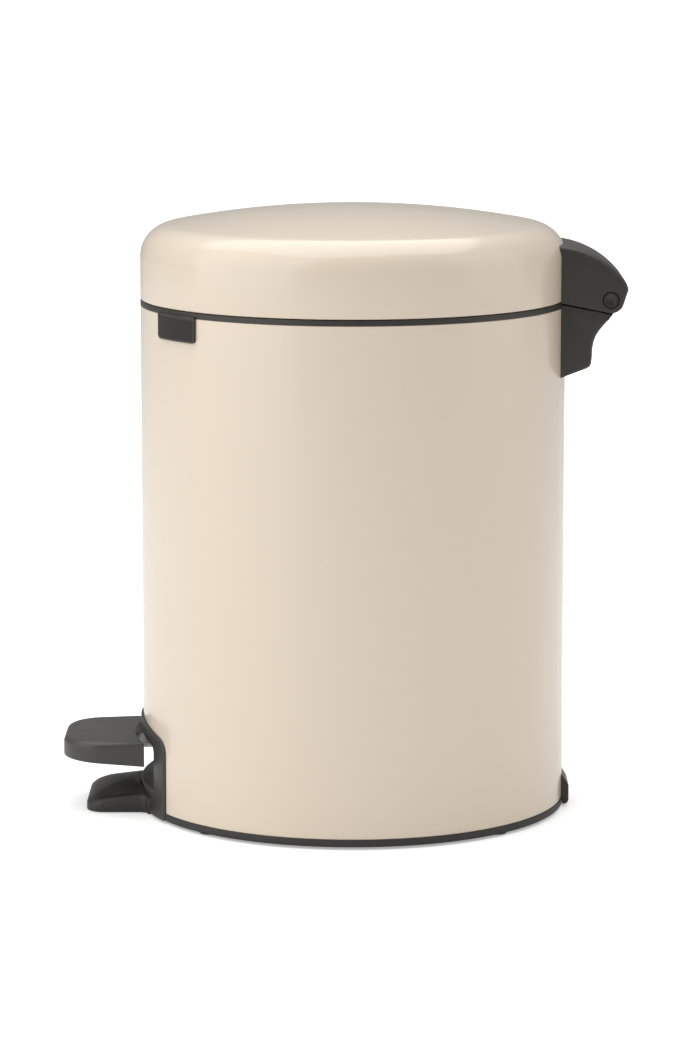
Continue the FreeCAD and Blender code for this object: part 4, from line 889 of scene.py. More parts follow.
@dataclass
class ScrewSet:
    """Pan-head screws with a cross recess, on the points of a grid."""

    name: str
    across: float
    pitch: float
    rows: int
    columns: int
    centre: Vector
    grid_turn: float
    screw_turn: float
    shank: float
    head_radius: float = 0.0035
    head_height: float = 0.0019
    shank_radius: float = 0.0017

    def build(self) -> bpy.types.Object:
        """Make every screw of the set in one mesh."""
        shape = NodeShape(self.name, Finishes.STEEL)
        head_radius = shape.size("Head Radius", self.head_radius)
        head_height = shape.size("Head Height", self.head_height)
        shank_radius = shape.size("Shank Radius", self.shank_radius)
        shank = shape.size("Shank Length", self.shank)
        across = shape.size("Across", self.across)
        pitch = shape.size("Pitch", self.pitch)
        seed = shape.size("Seed", 7)
        head = shape.node(
            "MeshCone",
            {},
            {
                "Vertices": 36,
                "Radius Top": head_radius,
                "Radius Bottom": shape.maths("MULTIPLY", head_radius, 0.8),
                "Depth": head_height,
            },
        ).outputs[0]
        sunk = shape.vector(0.0, 0.0, shape.maths("MULTIPLY", head_height, -1.0))
        recessed = shape.moved(head, sunk)
        for turn in (0.0, math.pi / 2):
            bar = shape.node(
                "MeshCube",
                {},
                {
                    "Size": shape.vector(
                        shape.maths("MULTIPLY", head_radius, 1.15),
                        shape.maths("MULTIPLY", head_radius, 0.24),
                        head_height,
                    )
                },
            ).outputs[0]
            place = shape.vector(0.0, 0.0, shape.maths("MULTIPLY", head_height, -0.95))
            blade = shape.moved(bar, place, (0.0, 0.0, turn))
            cut = shape.node("MeshBoolean", {"operation": "DIFFERENCE"})
            shape.tree.links.new(recessed, cut.inputs[0])
            shape.tree.links.new(blade, cut.inputs[1])
            recessed = cut.outputs[0]
        stem = shape.node(
            "MeshCylinder", {}, {"Vertices": 24, "Radius": shank_radius, "Depth": shank}
        ).outputs[0]
        screw = shape.node("JoinGeometry")
        shape.tree.links.new(recessed, screw.inputs[0])
        middle = shape.vector(0.0, 0.0, shape.maths("MULTIPLY", shank, 0.5))
        shape.tree.links.new(shape.moved(stem, middle), screw.inputs[0])
        grid = shape.node(
            "MeshGrid",
            {},
            {"Size X": across, "Size Y": pitch, "Vertices X": self.columns, "Vertices Y": self.rows},
        ).outputs[0]
        spin = shape.node(
            "FunctionNodeRandomValue", {"data_type": "FLOAT"}, {2: 0.0, 3: 3.1, "Seed": seed}
        ).outputs[1]
        spun = shape.node(
            "InstanceOnPoints",
            {},
            {
                "Points": shape.moved(grid, (0.0, 0.0, 0.0), (self.grid_turn, 0.0, 0.0)),
                "Instance": screw.outputs[0],
            },
        )
        turned = shape.node(
            "RotateInstances", {}, {"Instances": spun.outputs[0], "Rotation": (self.screw_turn, 0.0, 0.0)}
        ).outputs[0]
        own = shape.node(
            "RotateInstances", {}, {"Instances": turned, "Rotation": shape.vector(0.0, 0.0, spin)}
        ).outputs[0]
        return shape.piece(shape.moved(own, tuple(self.centre)))


@dataclass
class WirePiece:
    """Round wire along a path with bends."""

    name: str
    finish: Finishes
    radius: float
    path: list[Vector]

    def build(self) -> bpy.types.Object:
        """Sweep the wire's section along its path."""
        curve = bpy.data.curves.new(f"{self.name}_path", "CURVE")
        curve.dimensions = "3D"
        spline = curve.splines.new("POLY")
        spline.points.add(len(self.path) - 1)
        for point, place in zip(spline.points, self.path):
            point.co = (*place, 1.0)
        host = bpy.data.objects.new(f"{self.name}_host", curve)
        bpy.context.scene.collection.objects.link(host)
        shape = NodeShape(self.name, self.finish)
        radius = shape.size("Wire Radius", self.radius)
        facets = shape.size("Facets", 20)
        ring = shape.node("CurvePrimitiveCircle", {}, {"Resolution": facets, "Radius": radius}).outputs[0]
        swept = shape.node(
            "CurveToMesh",
            {},
            {"Curve": shape.start.outputs["Geometry"], "Profile Curve": ring, "Fill Caps": True},
        ).outputs[0]
        return shape.piece(swept, host)


def bent(corners: Sequence[Vector], bend: float, steps: int = 10) -> list[Vector]:
    """Straight runs joined by tangent bends.

    Args:
        corners: the route's corners.
        bend: radius of each bend.
        steps: spans in each bend.

    Returns:
        Points along the route.
    """
    path = [Vector(corners[0])]
    for before, here, after in zip(corners, corners[1:], corners[2:]):
        incoming = (here - before).normalized()
        outgoing = (after - here).normalized()
        half = incoming.angle(outgoing) / 2
        centre = here + (outgoing - incoming).normalized() * (bend / math.cos(half))
        first = here - incoming * (bend * math.tan(half)) - centre
        spindle = incoming.cross(outgoing).normalized()
        for step in range(steps + 1):
            path.append(centre + Matrix.Rotation(2 * half * step / steps, 3, spindle) @ first)
    path.append(Vector(corners[-1]))
    return path


@dataclass
class RadialSet:
    """Bars or studs spaced evenly round the can's axis."""

    name: str
    finish: Finishes
    count: int
    radius: float
    size: tuple[float, float, float]
    level: float
    start: float = 0.0
    round_studs: bool = False

    def build(self) -> bpy.types.Object:
        """Make the whole set in one mesh."""
        shape = NodeShape(self.name, self.finish)
        count = shape.size("Count", self.count)
        radius = shape.size("Ring Radius", self.radius)
        length = shape.size("Length", self.size[0])
        width = shape.size("Width", self.size[1])
        height = shape.size("Height", self.size[2])
        level = shape.size("Level", self.level)
        start = shape.size("Start Angle", self.start)
        if self.round_studs:
            member = shape.node(
                "MeshCylinder",
                {},
                {"Vertices": 32, "Radius": shape.maths("MULTIPLY", width, 0.5), "Depth": height},
            ).outputs[0]
        else:
            member = shape.node("MeshCube", {}, {"Size": shape.vector(length, width, height)}).outputs[0]
        points = shape.node("Points", {}, {"Count": count}).outputs[0]
        index = shape.node("InputIndex").outputs[0]
        spacing = shape.maths("DIVIDE", 2 * math.pi, count)
        angle = shape.maths("ADD", shape.maths("MULTIPLY", index, spacing), start)
        across = shape.maths("MULTIPLY", radius, shape.maths("COSINE", angle, 0.0))
        along = shape.maths("MULTIPLY", radius, shape.maths("SINE", angle, 0.0))
        placed = shape.node(
            "SetPosition", {}, {"Geometry": points, "Position": shape.vector(across, along, level)}
        ).outputs[0]
        spread = shape.node(
            "InstanceOnPoints",
            {},
            {"Points": placed, "Instance": member, "Rotation": shape.vector(0.0, 0.0, angle)},
        ).outputs[0]
        return shape.piece(spread)


# ---------------------------------------------------------- sub-assemblies


@dataclass
class SteelBody:
    """Sheet cylinder with its dark rim and the blank tab."""

    radius: float = 0.1025
    wall: float = 0.0008
    low: float = 0.00485
    high: float = 0.246
    rim_top: float = 0.2487
    segments: int = 256
    tab_middle: float = 36.05
    tab_sweep: float = 16.9
    tab_drop: float = 0.0116
    tab_border: float = 0.0011
    tab_corner: float = 0.0022
    tab_overlap: float = 0.0008
    tab_recess: float = 0.0004
    sheet_edge: float = 0.00025
    beads: tuple[float, float] = (0.06, 0.15)
    opening: tuple[float, ...] = (0.047, 0.0427, -0.01, 0.21, 0.004)
    opening_depth: tuple[float, float] = (-0.15, -0.05)
    notch: tuple[float, ...] = (-0.015, 0.08, -0.007, 0.11)
    notch_height: tuple[float, float] = (0.217, 0.26)
    band: float = 0.0039
    skirt: tuple[float, float] = (0.0996, 0.1016)
    skirt_low: float = 0.236
    seat: float = 0.0920
    seat_height: tuple[float, float] = (0.238, 0.24)
    rim_edge: float = 0.0005
    rim_notch: tuple[float, ...] = (-0.016, 0.09, -0.006, 0.1035)
    rim_notch_height: tuple[float, float] = (0.2355, 0.246)

    def build(self) -> None:
        """Make the sheet, the rim, the tab and its small parts."""
        self.make_sheet()
        self.make_rim()
        self.make_tab()
        kept("badge_plate", Finishes.BADGE)
        kept("lid_buffers", Finishes.RUBBER)

    def make_sheet(self) -> None:
        """Roll the sheet, with the opening for the pedal and the notch for the rod."""
        inner = self.radius - self.wall
        edge = self.sheet_edge
        section = [
            (self.radius - edge, self.low),
            (self.radius, self.low + edge),
            (self.radius, self.beads[0]),
            (self.radius, self.beads[1]),
            (self.radius, self.high - edge),
            (self.radius - edge, self.high),
            (inner + edge, self.high),
            (inner, self.high - edge),
            (inner, self.low + edge),
            (inner + edge, self.low),
        ]
        sheet = lathe(section, self.segments).piece("body_sheet")
        arch = arch_outline(*self.opening)
        opening = cutter("opening", arch, *self.opening_depth, frontal)
        notch = cutter("notch", rectangle(*self.notch), *self.notch_height, upright)
        dressed(cut_away(sheet, opening, notch), Finishes.BODY, "can", "body_shell")

    def make_rim(self) -> None:
        """Turn the rim that closes the body's top and carries the bucket."""
        edge, outer, band = self.rim_edge, self.radius, self.band
        near, far = self.skirt
        section = [
            (outer - band, self.rim_top - edge),
            (outer - band, self.high + 0.0001),
            (near, self.high),
            (near, self.seat_height[1]),
            (self.seat, self.seat_height[1]),
            (self.seat, self.seat_height[0]),
            (near, self.seat_height[0]),
            (near, self.skirt_low),
            (far, self.skirt_low),
            (far, self.high),
            (outer, self.high + 0.00005),
            (outer, self.rim_top - edge),
            (outer - edge * 0.3, self.rim_top - edge * 0.3),
            (outer - edge, self.rim_top),
            (outer - band + edge, self.rim_top),
        ]
        rim = lathe(section, self.segments).piece("rim_moulding")
        notch = cutter("rim_notch", rectangle(*self.rim_notch), *self.rim_notch_height, upright)
        dressed(cut_away(rim, notch), Finishes.TRIM, "can", "rim_ring")

    def make_tab(self) -> None:
        """Shape the tab under the rim, with its raised border."""
        near, far = self.radius + 0.0001, self.radius + 0.0014
        recess, border = self.tab_recess, self.tab_border
        half = math.radians(self.tab_sweep / 2) * far
        middle = math.radians(self.tab_middle - 90.0)
        low, high = self.high - self.tab_drop, self.high + self.tab_overlap
        corner = self.tab_corner
        corners = [(-half, low, corner), (half, low, corner), (half, high, 0.0), (-half, high, 0.0)]
        outline = subdivided(rounded(corners, 8), 0.0012)
        hub_height = self.high - self.tab_drop / 2

        def on_body(u: float, v: float, level: float) -> Vector:
            turn = middle + u / far
            return Vector((level * math.cos(turn), level * math.sin(turn), v))

        def shrunk(line: Sequence[Point], share: float, level: float) -> list[Vector]:
            return [on_body(u * share, hub_height + (v - hub_height) * share, level) for u, v in line]

        steps: list[tuple[float, float]] = [(0.0, near), (0.0, far - recess)]
        for turn in (0.5, 1.0, math.pi / 2):
            steps.append((recess * (1 - math.cos(turn)), far - recess * (1 - math.sin(turn))))
        steps += [(border - 0.0002, far), (border, far - 0.00015), (border + 0.0001, far - recess)]
        rings = [[on_body(0.0, hub_height, near)]]
        rings += [shrunk(outline, share, near) for share in (0.25, 0.6)]
        for drawn_in, level in steps:
            drawn = inset(outline, [drawn_in] * len(outline))
            rings.append([on_body(u, v, level) for u, v in drawn])
        floor = inset(outline, [border + 0.0001] * len(outline))
        rings += [shrunk(floor, share, far - recess) for share in (0.75, 0.5, 0.25)]
        rings.append([on_body(0.0, hub_height, far - recess)])
        dressed(Skin().loft(rings).piece("badge_tab"), Finishes.TRIM, "can")


def subdivided(outline: Sequence[Point], span: float) -> list[Point]:
    """An outline with points added until no side is longer than a span."""
    points: list[Point] = []
    for index, (u, v) in enumerate(outline):
        after = outline[(index + 1) % len(outline)]
        parts = max(1, math.ceil(math.dist((u, v), after) / span))
        for part in range(parts):
            share = part / parts
            points.append((u + (after[0] - u) * share, v + (after[1] - v) * share))
    return points


def arch_outline(half: float, top: float, bottom: float, crown: float, corner: float) -> list[Point]:
    """Front view of an arch with upright sides and a crowned top.

    Args:
        half: half width.
        top: height on the middle line.
        bottom: height of the foot.
        crown: radius of the top.
        corner: radius of the upper corners.

    Returns:
        The anticlockwise outline.
    """
    centre = top - crown
    side = half - corner
    corner_height = centre + math.sqrt((crown - corner) ** 2 - side**2)
    lean = math.degrees(math.acos(side / (crown - corner)))
    points = [(-half, bottom), (half, bottom)]
    points += arc((side, corner_height), corner, 0.0, lean, 10)
    points += arc((0.0, centre), crown, lean, 180.0 - lean, 24)[1:-1]
    points += arc((-side, corner_height), corner, 180.0 - lean, 180.0, 10)
    return points


@dataclass
class DomedLid:
    """Pressed lid, its liner and the hood over the hinge."""

    radius: float = 0.1025
    edge: float = 0.249
    wall_top: float = 0.269
    shoulder: float = 0.016
    crown: float = 0.475
    sheet: float = 0.0008
    curl: float = 0.0024
    segments: int = 256
    pin: Point = (0.123, 0.250)
    hood_half: float = 0.026
    hood_edge: float = 0.0024
    hood_front: float = 0.0885
    hood_rise: float = 0.026
    hood_crown: float = 0.0444
    hood_back: float = 0.0105
    hood_meeting: float = 39.6
    hood_wall: float = 0.0022
    knuckle: float = 0.0064
    counterbore: tuple[float, float, float] = (0.0041, 0.0242, 0.03)
    pin_bore: float = 0.00255
    web_half: float = 0.0025
    crank_offset: float = 0.012
    half_opening: float = 40.0
    groove: float = 0.0028

    def dome(self, offset: float) -> list[Point]:
        """Outer line of the dome from the wall to the axis, drawn in by an offset."""
        core = self.crown - self.shoulder
        side = self.radius - self.shoulder
        centre = self.wall_top - math.sqrt(core**2 - side**2)
        lean = math.degrees(math.acos(side / core))
        points = arc((side, self.wall_top), self.shoulder - offset, 0.0, lean, 24)
        return points + arc((0.0, centre), self.crown - offset, lean, 90.0, 22)[1:]

    def build(self) -> None:
        """Make the dome, the hood, the crank and the screws."""
        self.make_dome()
        self.make_hood()
        kept("lid_liner", Finishes.LINER)
        centre = Vector((0.0, 0.0982, 0.259))
        screws = ScrewSet("arm_screw_set", 0.03, 0.009, 2, 2, centre, *FROM_INSIDE, 0.0055)
        dressed(screws.build(), Finishes.STEEL, "lid", "lid_arm_screws")

    def make_dome(self) -> None:
        """Turn the dome with its rolled lower edge."""
        roll = 0.0007
        inner = self.radius - self.sheet
        section = [(self.radius - self.curl, self.edge), (self.radius - roll, self.edge)]
        section += arc((self.radius - roll, self.edge + roll), roll, -90.0, 0.0, 5)[1:]
        section += self.dome(0.0)
        section += list(reversed(self.dome(self.sheet)))
        section += [(inner, self.edge + self.sheet), (self.radius - self.curl, self.edge + self.sheet)]
        dressed(lathe(section, self.segments).piece("lid_dome"), Finishes.LID, "lid", "lid_shell")

    def hood_top(self, offset: float, last: float) -> list[Point]:
        """Hood's back and crown from its tip forward, drawn in by an offset.

        Args:
            offset: how far in.
            last: angle on the crown where the line ends.

        Returns:
            The line's points.
        """
        crown, back, meeting = self.hood_crown, self.hood_back, self.hood_meeting
        centre = (self.pin[0] - 0.0281, self.pin[1] + self.hood_rise - crown)
        turn = math.radians(meeting)
        reach = crown - back
        back_centre = (centre[0] + reach * math.cos(turn), centre[1] + reach * math.sin(turn))
        points = arc(back_centre, back - offset, 8.2, meeting, 8)
        return points + arc(centre, crown - offset, meeting, last, 14)[1:]

    def soft_back(self, u: float, v: float) -> float:
        """Full rounding over the crown and back, little at the seam."""
        return 1.0 if v > self.pin[1] + 0.004 and u > 0.0895 else 0.3

    def make_hood(self) -> None:
        """Mould the hood and the crank inside it."""
        y, z = self.pin
        outline = [(self.hood_front, z + 0.0001), (0.1015, 0.2479)]
        outline += arc(self.pin, self.knuckle, -112.0, -25.84, 10)
        outline += self.hood_top(0.0, 90.0)
        outline += [(self.hood_front, z + self.hood_rise)]
        half, edges = self.hood_half, (self.hood_edge, self.hood_edge)
        hood = slab(outline, -half, half, edges, sideways, self.soft_back).piece("hood_shell")
        space = [(0.0, 0.246), (self.radius + 0.0001, 0.246)] + self.dome(-0.0001)
        lid_space = lathe(space, 192).piece("lid_space")
        hollow = [(0.1056, 0.2359), (0.143, 0.2359), (0.143, 0.252)]
        hollow += self.hood_top(self.hood_wall, 75.3)
        room = slab(hollow, -0.0234, 0.0234, (0.0012, 0.0012), sideways).piece("hood_room")
        tools = [lid_space, room]
        radius, inner, outer = self.counterbore
        for side in (-1.0, 1.0):
            tools.append(plain_bar("counterbore", radius, side * inner, side * outer, self.pin))
        tools.append(plain_bar("pin_bore", self.pin_bore, -outer, outer, self.pin))
        cut_away(hood, *tools)
        dressed(merged("hinge_hood", [hood, self.make_crank()]), Finishes.TRIM, "lid", "lid_arm")

    def make_crank(self) -> bpy.types.Object:
        """Cut the crank's web, with its bore and the rod's slot."""
        y, z = self.pin
        offset, groove = self.crank_offset, self.groove
        web = [
            (0.1046, z + 0.012),
            (0.1046, z - 0.004),
            (0.10726, z - 0.00664),
            (y - offset, z - 0.01487),
            (0.11651, z - 0.01155),
            (y, z - 0.003),
            (y + 0.004, z + 0.008),
            (y - 0.006, z + 0.0174),
        ]
        half = self.web_half
        crank = slab(web, -half, half, (0.0004, 0.0004), sideways).piece("crank")
        turn = math.radians(self.half_opening)
        near = (y - offset * math.cos(turn), z - offset * math.sin(turn))
        far = (y - offset, z - offset * math.tan(turn))
        lean = 180.0 + self.half_opening
        slot = arc(far, groove, lean - 90.0, lean + 90.0, 8)
        slot += arc(near, groove, lean + 90.0, lean + 270.0, 8)
        slot_room = cutter("slot_room", slot, -0.004, 0.004, sideways)
        return cut_away(crank, slot_room, plain_bar("crank_bore", self.pin_bore, -0.004, 0.004, self.pin))


def turned_piece(name: str, centre: Point, section: Sequence[Point]) -> bpy.types.Object:
    """A piece turned about an axis along X.

    Args:
        name: the object's name.
        centre: (Y, Z) of the axis.
        section: (radius, X) points.

    Returns:
        The object.
    """

    def place(across: float, up: float, along: float) -> Vector:
        return Vector((along, centre[0] + across, centre[1] + up))

    return lathe(section, 48, place).piece(name)


def plain_bar(name: str, radius: float, start: float, end: float, centre: Point) -> bpy.types.Object:
    """A round bar along X.

    Args:
        name: the object's name.
        radius: its radius.
        start: X of one end.
        end: X of the other end.
        centre: (Y, Z) of its axis.

    Returns:
        The object.
    """
    low, high = min(start, end), max(start, end)
    return turned_piece(name, centre, [(0.0, low), (radius, low), (radius, high), (0.0, high)])


@dataclass
class HingeBracket:
    """Bracket on the body with the pin and the steel plate behind it."""

    pin: Point = (0.123, 0.250)
    half: float = 0.026
    foot: float = 0.2138
    seam: float = 0.0069
    edge: float = 0.0022
    wall: float = 0.0022
    ear_radius: float = 0.0059
    ear_half: float = 0.0231
    bore: float = 0.0025
    pin_head: float = 0.0038
    pin_face: float = 0.0259
    head_depth: float = 0.0015
    head_round: float = 0.0005

    def side(self, inset_by: float) -> list[Point]:
        """Foot and back of the bracket, drawn in."""
        y = self.pin[0]
        low = self.foot + inset_by
        points = [(0.0945, low - 0.0032), (0.1025, low), (y - 0.0114 - inset_by, low + 0.0032)]
        points += [(y - 0.0098 - inset_by, low + 0.0042), (y - 0.0091 - inset_by, low + 0.0057)]
        points += [(y - 0.0088 - inset_by, self.foot + 0.0090), (y - 0.0087 - inset_by, self.foot + 0.0125)]
        points += [(y - 0.0081 - inset_by, self.foot + 0.0160), (y - 0.0069 - inset_by, self.foot + 0.0192)]
        return points + [(y - 0.0049 - inset_by, self.foot + 0.0222)]

    def build(self) -> None:
        """Make the bracket, the pin, its cap and the hidden fixings."""
        y, z = self.pin
        half = self.half
        outline = self.side(0.0)
        outline += arc(self.pin, self.seam, -82.0, -116.0, 8)
        outline += [(0.1015, 0.24735), (0.0945, 0.24855)]
        edges = (self.edge, self.edge)
        block = slab(outline, -half, half, edges, sideways, self.soft_back).piece("bracket_block")
        ear = [(y - 0.012, z - 0.016), (y - 0.001, z - 0.010)]
        ear += arc(self.pin, self.ear_radius, 0.0, 180.0, 14)
        ears = slab(ear, -self.ear_half, self.ear_half, (0.0003, 0.0003), sideways).piece("bracket_ears")
        inner = self.side(self.wall)
        inner += [(y + 0.001, z - 0.0095), (y + 0.012, z - 0.006)]
        inner += [(y + 0.012, z + 0.012), (0.0945, z + 0.012)]
        parts = []
        for part in (block, ears):
            room = cutter("bracket_room", inner, -0.019, 0.019, sideways)
            core = lathe(rectangle(0.0, 0.15, 0.1026, 0.3), 192).piece("body_core")
            bore = plain_bar("bore", self.bore, -0.03, 0.03, self.pin)
            parts.append(cut_away(part, room, core, bore))
        dressed(merged("bracket_moulding", parts), Finishes.TRIM, "can", "hinge_bracket")
        self.make_pin()
        kept("backing_plate", Finishes.SHEET)
        centre = Vector((0.0, 0.0966, 0.22453))
        screws = ScrewSet("bracket_screw_set", 0.044, 0.010, 2, 2, centre, *FROM_INSIDE, 0.0098)
        dressed(screws.build(), Finishes.STEEL, "can", "bracket_screws")

    def soft_back(self, u: float, v: float) -> float:
        """Full rounding at the back, less at the seam and the body."""
        return 1.0 if u > 0.106 and v < 0.2425 else 0.35

    def make_pin(self) -> None:
        """Turn the pin with its dished head, and its cap."""
        head, shank, face = self.pin_head, self.bore, self.pin_face
        depth, bend = self.head_depth, self.head_round
        section = [(0.0, -0.0255), (shank, -0.0255), (shank, face - depth)]
        section += [(head - 0.0002, face - depth), (head, face - depth + 0.0002)]
        section += arc((head - bend, face - bend), bend, 0.0, 90.0, 5)
        section += [(0.0024, face), (0.0021, face - 0.00015)]
        section += [(0.0012, face - bend), (0.0, face - bend - 0.00005)]
        pin = turned_piece("hinge_pin_turned", self.pin, section)
        dressed(pin, Finishes.PIN, "can", "hinge_pin")
        section = [(0.0, -face)] + arc((head - bend, -face + bend), bend, -90.0, 0.0, 5)
        section += [(head, -face + depth), (shank, -face + depth), (shank, -face + bend)]
        section += [(0.0, -face + bend)]
        cap = turned_piece("hinge_pin_cap", self.pin, section)
        dressed(cap, Finishes.PIN, "can", "pin_cap")


@dataclass
class PedalFrame:
    """Arch round the pedal with its foot on the floor."""

    face: float = 0.1037
    back: float = 0.1026
    neck: float = 0.0975
    foot_half: float = 0.027
    foot_tip: float = 0.1297
    foot_top: float = 0.0124
    foot_crown: float = 0.123

    def build(self) -> None:
        """Make the arch, the foot, the screw flange and the screws."""
        arch = self.make_arch()
        foot = self.make_foot()
        flange = self.make_flange()
        dressed(merged("pedal_arch", [arch, foot, flange]), Finishes.TRIM, "can", "pedal_frame")
        centre = Vector((0.0, -0.08777, 0.0074))
        screws = ScrewSet("frame_screw_set", 0.06, 0.0, 1, 2, centre, *FROM_ABOVE, 0.0050)
        dressed(screws.build(), Finishes.STEEL, "can", "frame_screws")

    def make_arch(self) -> bpy.types.Object:
        """Loft the arch round its window."""
        outer = arch_outline(0.05, 0.0457, 0.0012, 0.213, 0.007)
        inner = arch_outline(0.0385, 0.0386, 0.014, 0.213, 0.0035)
        stations = 300
        rings = []
        for index in range(stations):
            turn = 2 * math.pi * index / stations
            first = ray_hit(outer, (0.0, 0.024), turn)
            last = ray_hit(inner, (0.0, 0.024), turn)
            span = math.dist(first, last)
            profile = [(0.0, self.back), (0.0, self.face - 0.0008)]
            for bend in (0.4, 0.8, 1.2, math.pi / 2):
                rise, run = 1 - math.sin(bend), 1 - math.cos(bend)
                profile.append((0.0008 * run, self.face - 0.0008 * rise))
            for bend in (0.0, 0.4, 0.8, 1.2, math.pi / 2):
                rise, run = 1 - math.sin(bend), 1 - math.cos(bend)
                profile.append((span - 0.0008 * rise, self.face - 0.0008 * run))
            step = min(0.0031, span * 0.8)
            profile += [(span, self.neck), (step, self.neck), (step, self.back)]
            ring = []
            for along, radius in profile:
                share = along / span
                x = first[0] + (last[0] - first[0]) * share
                z = first[1] + (last[1] - first[1]) * share
                ring.append(Vector((x, -math.sqrt(radius**2 - x**2), z)))
            rings.append(ring)
        return Skin().loft(rings, caps=False).piece("arch_band", 40.0)

    def make_foot(self) -> bpy.types.Object:
        """Loft the crowned foot, which flares where it meets the arch."""
        half, tip, flare = self.foot_half, -self.foot_tip, 0.0045
        right = arc((half - 0.009, tip + 0.009), 0.009, -90.0, 0.0, 12)
        right += arc((half + flare, -0.1040), flare, 180.0, 96.0, 8)
        right.append((half + flare, -0.0975))
        outline = right + [(-u, v) for u, v in reversed(right)]

        def crowned(u: float, v: float, level: float) -> Vector:
            rise = (level - 0.0003) / (self.foot_top - 0.0003)
            top = self.foot_top - self.foot_crown + math.sqrt(self.foot_crown**2 - u**2)
            fall = max(0.0, -0.1049 - v) / 0.0171
            top -= 0.0025 * min(fall, 1.4) ** 2
            return Vector((u, v, 0.0003 + (top - 0.0003) * rise))

        def nose(u: float, v: float) -> float:
            return 0.45 + 0.55 * min(1.0, max(0.0, (-0.116 - v) / 0.008))

        share = [nose(u, v) for u, v in outline]
        rings = []
        for step in range(4):
            turn = math.radians(30.0 * step)
            drawn = inset(outline, [0.0008 * (1 - math.sin(turn))] * len(outline))
            rings.append([crowned(u, v, 0.0003 + 0.0008 * (1 - math.cos(turn))) for u, v in drawn])
        for step in range(9):
            turn = math.radians(90.0 * step / 8)
            drawn = inset(outline, [0.005 * part * (1 - math.cos(turn)) for part in share])
            levels = [self.foot_top - 0.005 * part * (1 - math.sin(turn)) for part in share]
            rings.append([crowned(u, v, level) for (u, v), level in zip(drawn, levels)])
        top = inset(outline, [0.005 * part for part in share])
        middle = (0.0, -0.109)
        x, y = middle
        for scale in (0.85, 0.65, 0.45, 0.25):
            shrunk = [(x + (u - x) * scale, y + (v - y) * scale) for u, v in top]
            rings.append([crowned(u, v, self.foot_top) for u, v in shrunk])
        rings = [[crowned(*middle, 0.0003)], *rings, [crowned(*middle, self.foot_top)]]
        return Skin().loft(rings).piece("foot_tongue", 40.0)

    def make_flange(self) -> bpy.types.Object:
        """Shape the flange that the screws hold."""
        half = 0.04
        outer_turn = math.degrees(math.asin(half / 0.0985))
        inner_turn = math.degrees(math.asin(half / 0.088))
        outline = arc((0.0, 0.0), 0.0985, -90.0 - outer_turn, -90.0 + outer_turn, 24)
        outline += arc((0.0, 0.0), 0.088, -90.0 + inner_turn, -90.0 - inner_turn, 24)
        return slab(outline, 0.0044, 0.0074, (0.0, 0.0004), upright, steps=3).piece("screw_flange")


def ray_hit(outline: Sequence[Point], centre: Point, turn: float) -> Point:
    """Where a ray from a centre meets an outline.

    Args:
        outline: closed outline round the centre.
        centre: where the ray starts.
        turn: its direction in radians.

    Returns:
        The meeting point.
    """
    direction = Vector((math.cos(turn), math.sin(turn)))
    for index, point in enumerate(outline):
        first = Vector(outline[index - 1]) - Vector(centre)
        side = Vector(point) - Vector(centre) - first
        bottom = direction.x * side.y - direction.y * side.x
        if abs(bottom) < 1e-12:
            continue
        reach = (first.x * side.y - first.y * side.x) / bottom
        share = (first.x * direction.y - first.y * direction.x) / bottom
        if reach > 0.0 and -1e-9 <= share <= 1.0 + 1e-9:
            return (centre[0] + direction.x * reach, centre[1] + direction.y * reach)
    raise ValueError("the centre lies outside the outline")


@dataclass
class FootPedal:
    """Tread, its lever and their fixings."""

    reach: float = 0.141
    half: float = 0.033
    top: float = 0.036
    bottom: float = 0.0239
    hollow: float = 0.1061
    corner: float = 0.020

    def outline(self, drawn_in: float) -> list[Point]:
        """Plan of the tread, drawn in."""
        hollow = self.hollow + drawn_in
        half = self.half - drawn_in
        corner = self.corner - drawn_in
        back = math.sqrt(hollow**2 - half**2)
        centre_y = -(self.reach - self.corner)
        taper = math.radians(2.5)
        drop = (-centre_y + corner * math.sin(taper) - back) * math.tan(taper)
        centre_x = half - drop - corner * math.cos(taper)
        points = arc((-centre_x, centre_y), corner, 182.5, 270.0, 14)
        points += arc((centre_x, centre_y), corner, -90.0, -2.5, 14)
        turn = math.degrees(math.asin(half / hollow))
        return points + arc((0.0, 0.0), hollow, -90.0 + turn, -90.0 - turn, 30)

    def sloped(self, u: float, v: float, level: float) -> Vector:
        """Point of the tread, whose underside rises towards the tip."""
        share = (self.top - level) / (self.top - self.bottom)
        return Vector((u, v, level + share * 0.0594 * max(0.0, -0.0965 - v)))

    def soft_edge(self, u: float, v: float) -> float:
        """Round all round, but almost sharp beside the body."""
        return 0.16 if math.hypot(u, v) < self.hollow + 0.0004 else 1.0

    def build(self) -> None:
        """Make the tread and dress the lever's steel."""
        tread = slab(
            self.outline(0.0), self.bottom, self.top, (0.0007, 0.0034), self.sloped, self.soft_edge, 8
        ).piece("tread_block", 50.0)
        low, high = 0.015, 0.0315
        inside = self.outline(0.0025)
        room = slab(inside, low, high, (0.0, 0.0006), upright, steps=3).piece("tread_room")
        gate = cutter("tongue_gate", rectangle(-0.0123, -0.112, 0.0123, -0.09), low, high, upright)
        cut_away(tread, room, gate)
        tread.name = "pedal_tread"
        dressed(smoothed(tread, 50.0), Finishes.TREAD, "pedal_lever_body", "pedal")
        kept("pedal_lever", Finishes.SHEET)
        kept("pedal_axle", Finishes.STEEL)
        kept("axle_clips", Finishes.SPRING)
        centre = Vector((0.0, -0.1205, 0.0295))
        screws = ScrewSet("pedal_screw_set", 0.0, 0.013, 2, 1, centre, *FROM_BELOW, 0.0039)
        dressed(screws.build(), Finishes.STEEL, "pedal_lever_body", "pedal_screws")


